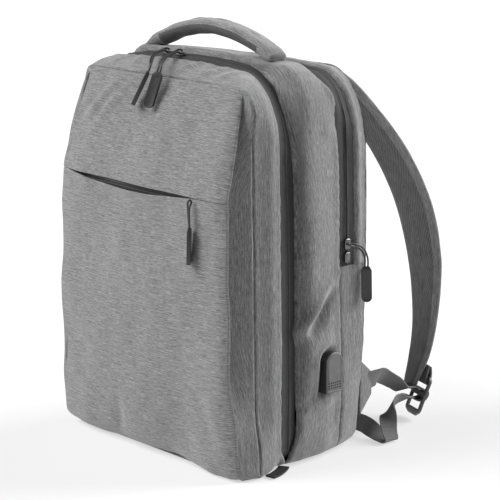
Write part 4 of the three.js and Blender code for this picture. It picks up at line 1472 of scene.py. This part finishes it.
def swell(piece, pinned, pressure, cap):
    """Pumps up a closed cover with some points pinned, scaled so that none moves further than cap mm."""
    rest = np.empty(len(piece.data.vertices) * 3, dtype=np.float32)
    piece.data.vertices.foreach_get("co", rest)
    rest = rest.reshape(-1, 3)
    sewn = piece.vertex_groups.new(name="sewn")
    sewn.add([int(i) for i in np.flatnonzero(pinned)], 1.0, "REPLACE")
    cloth = piece.modifiers.new("Cloth", "CLOTH")
    settings = cloth.settings
    settings.quality = 6
    settings.mass = 0.2
    settings.tension_stiffness = 20
    settings.compression_stiffness = 20
    settings.shear_stiffness = 8
    settings.bending_stiffness = 0.4
    settings.use_pressure = True
    settings.uniform_pressure_force = pressure
    settings.effector_weights.gravity = 0
    settings.vertex_group_mass = sewn.name
    cloth.point_cache.frame_start = 1
    cloth.point_cache.frame_end = SIM_FRAMES
    for step in range(1, SIM_FRAMES + 1):
        scene.frame_set(step)
    shaped = piece.evaluated_get(bpy.context.evaluated_depsgraph_get())
    swollen = np.empty(rest.size, dtype=np.float32)
    shaped.data.vertices.foreach_get("co", swollen)
    move = swollen.reshape(-1, 3) - rest
    size = np.linalg.norm(move, axis=1)
    move *= min(1, cap * MM / max(float(size.max()), 1e-9))
    piece.modifiers.remove(cloth)
    piece.vertex_groups.remove(sewn)
    piece.data.vertices.foreach_set("co", (rest + move).ravel())
    piece.data.update()
    scene.frame_set(1)
    print(piece.name, "swelled by at most", round(float(size.max()) / MM, 2), "mm before the cap")
    return piece


def tube_cover(name, line, wide, normal, widths, thicks, section, ripples):
    """A closed padded cover along a line. section rows are (share of width, share of half thickness)."""
    shape = np.vstack([section, section[:1]])
    across = wide[:, None] * (shape[None, :, :1] * widths[:, None, None])
    lift = normal[:, None] * (shape[None, :, 1:] * thicks[:, None, None] / 2)
    points = line[:, None] + across + lift * (1 + ripples[..., None])
    ends = [points[0].mean(0), points[-1].mean(0)]
    caps = [np.tile(end, (1, len(shape), 1)) for end in ends]
    points = np.concatenate([caps[0], points, caps[1]])
    along = run_length(points[:, len(section) // 4][:, None], 0) + 0 * points[..., 0]
    around = np.broadcast_to(run_length(points[len(points) // 2][None], 1), along.shape)
    cover = lay_blank(name, points, np.stack([along, around], axis=-1))
    return cover, points


print("padding is ready")

# %% [markdown]
# ## Shoulder straps
# A strap is a curved foam pad. Its inner side, towards the wearer, is spacer mesh; cloth covers the outer
# side and wraps over both edges to a seam, further over the outer edge, where it shows as a border. A row
# of section points goes round the pad once, and the faces between the two seams get the mesh finish.

# %% Shoulder straps
STRAP = np.array(
    [
        [72, 93.0, 418, 66, 0, 10],
        [73, 113, 404, 66, 0, 12],
        [77, 152, 366, 65, 0, 12],
        [81, 184, 329, 63, 0, 12],
        [84, 209, 291, 62, 0, 12],
        [86, 229, 251, 61, 0, 12],
        [88, 240, 214, 60, 2, 12],
        [92, 244, 177, 56, 4, 12],
        [96, 242, 140, 50, 8, 12],
        [100, 235, 99, 44, 12, 10],
        [103, 224, 69, 40, 15, 8],
        [103, 211.5, 43, 28, 18, 5],
        [103, 207, 34, 23, 18, 3.6],
    ]
)
STRAP_OUTER = [
    (0.0, 1.0), (0.08, 1.0), (0.15, 0.98), (0.21, 0.95), (0.26, 0.89), (0.30, 0.79), (0.325, 0.66),
    (0.34, 0.56), (0.358, 0.68), (0.39, 0.66), (0.425, 0.50), (0.458, 0.26), (0.482, 0.0),
    (0.497, -0.28), (0.490, -0.56), (0.46, -0.76), (0.41, -0.89), (0.32, -0.95), (0.22, -0.98),
    (0.10, -1.0),
]
STRAP_INNER = [
    (0.0, 1.0), (0.08, 1.0), (0.18, 0.99), (0.28, 0.96), (0.36, 0.90), (0.42, 0.78), (0.455, 0.64),
    (0.472, 0.52), (0.484, 0.50), (0.492, 0.38), (0.497, 0.20), (0.499, 0.0), (0.499, -0.15),
    (0.496, -0.30), (0.488, -0.52), (0.46, -0.74), (0.41, -0.89), (0.32, -0.95), (0.22, -0.98),
    (0.10, -1.0),
]
STRAP_SEAM = 7
STRAP_FIT = (0.97, 0.9)
STRAP_SECTION = np.array(
    STRAP_OUTER + [(0.0, -1.0)] + [(-share, lift) for share, lift in STRAP_INNER[:0:-1]]
)
MESH_FACE = np.array(
    [i < STRAP_SEAM or i >= len(STRAP_SECTION) - STRAP_SEAM for i in range(len(STRAP_SECTION))]
)


def strap_pad(side, mirror):
    count = 96
    line = curve_through(STRAP[:, :3], count)
    place = np.linspace(0, len(STRAP) - 1, count)
    widths, twists, thicks = (np.interp(place, range(len(STRAP)), STRAP[:, i]) for i in (3, 4, 5))
    along = unit(np.gradient(line, axis=0))
    along[0] = (0, 1, 0)
    angle = np.radians(twists)
    wide = np.stack([np.cos(angle), -np.sin(angle), 0 * angle], axis=-1)
    wide = unit(wide - (wide * along).sum(1, keepdims=True) * along)
    normal = np.cross(along, wide)
    run = run_length(line[:, None], 0)
    columns = np.arange(len(STRAP_SECTION) + 1)[None]
    ripples = 0.05 * ripple(run, 3.0 * columns, 38, 71)
    size = widths * STRAP_FIT[0], thicks * STRAP_FIT[1]
    cover, points = tube_cover("strap_pad_" + side, line, wide, normal, *size, STRAP_SECTION, ripples)
    faces = np.tile(np.where(MESH_FACE, 0, 1), len(points) - 1)
    cover.data.polygons.foreach_set("material_index", faces.astype(np.int32))
    weld(cover)
    face_out(cover)
    apply_modifier(cover, "SUBSURF", levels=1, render_levels=1)
    mirror_piece(cover, mirror)
    smooth_shading(cover)
    # The strap's cloth faces take the paler copy, painted lighter than the bag's cloth.
    dress(cover, "mesh", [MESH, LIT_STRAP_CLOTH], "shoulder_strap_" + side)
    print(cover.name, "has", len(cover.data.polygons), "faces")


for side, mirror in SIDES.items():
    strap_pad(side, mirror)

# %% [markdown]
# ## Carry handle
# The handle is a short padded bar that thins to its sewn ends. Cloth covers its upper half and spacer
# mesh its lower half, where the hand goes. It is made as the straps are, along an arch.

# %% Carry handle
HANDLE = {
    "x": -8.0, "y": 7.0, "span": 100.0, "top": 467.4,
    "drop": 24.0, "width": 27.0, "thick": 18.5,
}
HANDLE_END = 0.45
HANDLE_FRONT = [
    (0.0, 1.0), (0.14, 0.98), (0.27, 0.90), (0.38, 0.74), (0.455, 0.52), (0.474, 0.30), (0.499, 0.12),
    (0.497, -0.10), (0.472, -0.36), (0.38, -0.72), (0.27, -0.90), (0.14, -0.98),
]
HANDLE_REAR = [
    (0.0, 1.0), (0.14, 0.98), (0.27, 0.90), (0.38, 0.73), (0.47, 0.38), (0.484, -0.12), (0.482, -0.25),
    (0.470, -0.38), (0.44, -0.52), (0.38, -0.72), (0.27, -0.90), (0.14, -0.98),
]
HANDLE_SEAM = 5
HANDLE_FIT = (0.97, 0.92)


def handle_pad():
    front = [(-share, lift) for share, lift in HANDLE_FRONT[:0:-1]]
    section = np.array([*HANDLE_REAR, (0.0, -1.0), *front])
    t = np.linspace(-1.2, 1.06, 84)
    arch = HANDLE["top"] - HANDLE["drop"] * np.abs(t) ** 1.9
    line = np.stack([HANDLE["x"] + HANDLE["span"] * t, HANDLE["y"] + 0 * t, arch], axis=-1)
    along = unit(np.gradient(line, axis=0))
    wide = np.tile([0.0, 1.0, 0.0], (len(t), 1))
    normal = np.cross(along, wide)
    thinning = np.clip((np.abs(t) - 0.97) / 0.13, 0, 1)
    thicks = HANDLE["thick"] * (1 + (HANDLE_END - 1) * thinning)
    widths = HANDLE["width"] * (1 - 0.08 * thinning)
    columns = np.arange(len(section) + 1)[None]
    ripples = 0.05 * ripple(line[:, :1], 4.0 * columns, 30, 81)
    size = widths * HANDLE_FIT[0], thicks * HANDLE_FIT[1]
    cover, points = tube_cover("handle_pad", line, wide, normal, *size, section, ripples)
    round_bar = np.arange(len(section))
    low = (round_bar >= HANDLE_SEAM) & (round_bar < len(section) - HANDLE_SEAM)
    inner = np.abs(np.concatenate([[9], t, [9]])) < 0.86
    is_mesh = low[None] & inner[:-1, None] & inner[1:, None]
    cover.data.polygons.foreach_set("material_index", is_mesh.astype(np.int32).ravel())
    weld(cover)
    face_out(cover)
    place_of = np.array([v.co for v in cover.data.vertices]) / MM
    seams = points[:, [HANDLE_SEAM, len(section) - HANDLE_SEAM]].reshape(-1, 3)
    ends = np.concatenate([points[:5].reshape(-1, 3), points[-5:].reshape(-1, 3)])
    held = np.concatenate([seams, ends])
    pinned = np.array([np.abs(held - p).sum(1).min() < 0.01 for p in place_of])
    swell(cover, pinned, pressure=4.0, cap=1.2)
    apply_modifier(cover, "SUBSURF", levels=1, render_levels=1)
    smooth_shading(cover)
    # The grip's mesh is the darker copy, painted shade for the handle's underside.
    dress(cover, "cloth", [CLOTH, SHADED_GRIP_MESH], "carry_handle")
    print(cover.name, "has", len(cover.data.polygons), "faces")


handle_pad()

# %% [markdown]
# ## Back panel
# The wearer's side doesn't show in the picture, so it is finished plainly: a padded panel of spacer mesh
# with a border of cloth. A grid is laid on the bag's back outline, its rim comes down to the seam, one
# face closes its flat side, and the cloth solver swells the field inside the border.

# %% Back panel
PAD = 9.0
PAD_INSIDE = 1.5
BORDER = 16.0


def back_pad():
    outlines = side_outlines(Y_BACK)
    right, left = outlines[1], outlines[-1]
    top = float(right[-1, 2])
    z = (columns_across(top, 6.0) * top)[:, None]
    u = columns_across(300.0, 6.0)[None]
    x_right = np.interp(z, right[:, 2], right[:, 0]) - PAD_INSIDE
    x_left = np.interp(z, left[:, 2], left[:, 0]) + PAD_INSIDE
    x = x_right + (x_left - x_right) * u
    edge = np.minimum.reduce([x_right - x, x - x_left, z + 0 * x, top - z + 0 * x])
    rim = ease(edge / 14)
    y = Y_BACK + GAP + (PAD - GAP - 1.5) * rim - 2.4 * bump_at(edge - BORDER, 2.0)
    points = np.stack([x, y, z + 0 * x], axis=-1)
    pad = lay_blank("back_pad", points, points[..., [2, 0]])
    face_edge = (edge[:-1, :-1] + edge[1:, 1:]) / 2
    border = (face_edge < BORDER - 3).astype(np.int32).ravel()
    pad.data.polygons.foreach_set("material_index", border)
    pick(pad, "EDGE", lambda middle, run: middle.y < Y_BACK + GAP + 0.01)
    bpy.ops.mesh.edge_face_add()
    leave_edit()
    face_out(pad)
    pinned = (edge < BORDER + 2).ravel()
    swell(pad, pinned, pressure=3.0, cap=4.0)
    smooth_by_angle(pad, 60)
    dress(pad, "mesh", [MESH, CLOTH], "back_panel")
    print(pad.name, "has", len(pad.data.polygons), "faces")


back_pad()

# %% [markdown]
# ## Charging port
# A socket for a phone lead sits low on the side: a dark moulding with an arched top and a soft grey face
# with three rows of small dots. A cylinder gives the arch; its lower half is cut off by bisect and the
# flat cut is drawn down to the foot. The front edge is bevelled and an inset marks the face plate.

# %% Charging port
DOT = {"radius": 0.95, "flat": 0.5, "across": 3.1, "up": 2.9, "above_foot": 6.0}


def port_body():
    clear_selection()
    bpy.ops.mesh.primitive_cylinder_add(vertices=64, radius=PORT["half"] * MM, depth=PORT["proud"] * MM)
    body = bpy.context.object
    body.name = "port_body"
    body.data.transform(Matrix.Rotation(math.pi / 2, 4, "Y"))
    body.data.transform(Matrix.Diagonal((1, 1, PORT["rise"] / PORT["half"], 1)))
    cut = {"plane_co": (0, 0, 0), "plane_no": (0, 0, -1), "clear_outer": True, "use_fill": True}
    edit(body, (bpy.ops.mesh.bisect, cut))
    pick(body, "FACE", lambda middle, normal: normal.z < -0.9)
    drop = PORT["foot"] - PORT["spring"]
    bpy.ops.mesh.extrude_region_move(TRANSFORM_OT_translate={"value": (0, 0, drop * MM)})
    leave_edit()
    edit(body, (bpy.ops.mesh.dissolve_limited, {"angle_limit": math.radians(1)}))
    pick(body, "FACE", lambda middle, normal: normal.x > 0.99)
    bpy.ops.mesh.bevel(offset=2.0 * MM, segments=4, affect="EDGES")
    leave_edit()
    pick(body, "FACE", lambda middle, normal: normal.x > 0.99)
    bpy.ops.mesh.inset(thickness=0.7 * MM, depth=-0.5 * MM)
    bpy.ops.mesh.inset(thickness=0.5 * MM, depth=0.5 * MM)
    leave_edit()
    smooth_by_angle(body, 30)
    centre = Vector((PORT["seat"] + PORT["proud"] / 2, PORT["y"], PORT["spring"])) * MM
    body.data.transform(Matrix.Translation(centre))
    for face in body.data.polygons:
        face.material_index = 1 if face.normal.x > 0.4 else 0
    return dress(body, "port", [SATIN, SOFT_GREY], "usb_port")


def port_dots():
    face = PORT["seat"] + PORT["proud"]
    dots = []
    for row in range(3):
        for column in range(6):
            clear_selection()
            bpy.ops.mesh.primitive_uv_sphere_add(segments=10, ring_count=6, radius=DOT["radius"] * MM)
            dot = bpy.context.object
            dot.data.transform(Matrix.Diagonal((DOT["flat"], 1, 1, 1)))
            y = PORT["y"] + (column - 2.5) * DOT["across"]
            z = PORT["foot"] + DOT["above_foot"] + row * DOT["up"]
            dot.data.transform(Matrix.Translation(Vector((face, y, z)) * MM))
            dots.append(dot)
    return dress(smooth_shading(join("port_dots", dots)), "plastic", [BLACK])


print(port_body().name, "and", port_dots().name, "are on the side")

# %% [markdown]
# ## Sewn tabs
# A triangle of doubled cloth at each lower corner of the back holds the webbing. A box is narrowed at its
# outer end and rounded. The black tongue on the floor at the end of the main zip is a scrap of webbing,
# laid as a ribbon.

# %% Sewn tabs
TAB_ROOT = 89.0
TAB_REACH = 19.0
TAB_SIZE = (6.6, TAB_REACH, 65.0)
TAB_AT = (139.7, TAB_ROOT + TAB_REACH / 2, 67.5)


def strap_tab(side, mirror):
    tab = start_box("sewn_tab_" + side, TAB_SIZE, TAB_AT)
    pick(tab, "FACE", lambda middle, normal: normal.y > 0.9)
    bpy.ops.transform.resize(value=(0.75, 1, 0.4))
    bpy.ops.transform.translate(value=(0, 0, 2.0 * MM))
    leave_edit()
    edit(tab, (bpy.ops.mesh.subdivide, {"number_cuts": 5}))
    soften(tab, 0.9, 3)
    places = np.array([v.co for v in tab.data.vertices])
    thread_map = places[corners_of(tab)][:, [2, 1]].astype(np.float32)
    tab.data.uv_layers.active.data.foreach_set("uv", thread_map.ravel())
    mirror_piece(tab, mirror)
    return dress(tab, "cloth", [CLOTH], "strap_tab_" + side)


for side, mirror in SIDES.items():
    print(strap_tab(side, mirror).name, "holds the webbing")

FLOOR_TAB = [
    ((145, -28, 2.0), (0.8, 0.6, 0)),
    ((151, -38, 1.6), (0.85, 0.5, 0)),
    ((156, -50, 1.5), (0.95, 0.3, 0)),
    ((158, -60, 1.5), (1, 0.15, 0)),
]
TONGUE_WIDTH = 12.0
TONGUE_THICK = 2.0
size = TONGUE_WIDTH, TONGUE_THICK
tongue, line = ribbon("floor_tongue", FLOOR_TAB, *size, SIDES["right"], count=24)
dress(tongue, "black", [BLACK], "base_tab")
print(tongue.name, "lies on the floor")
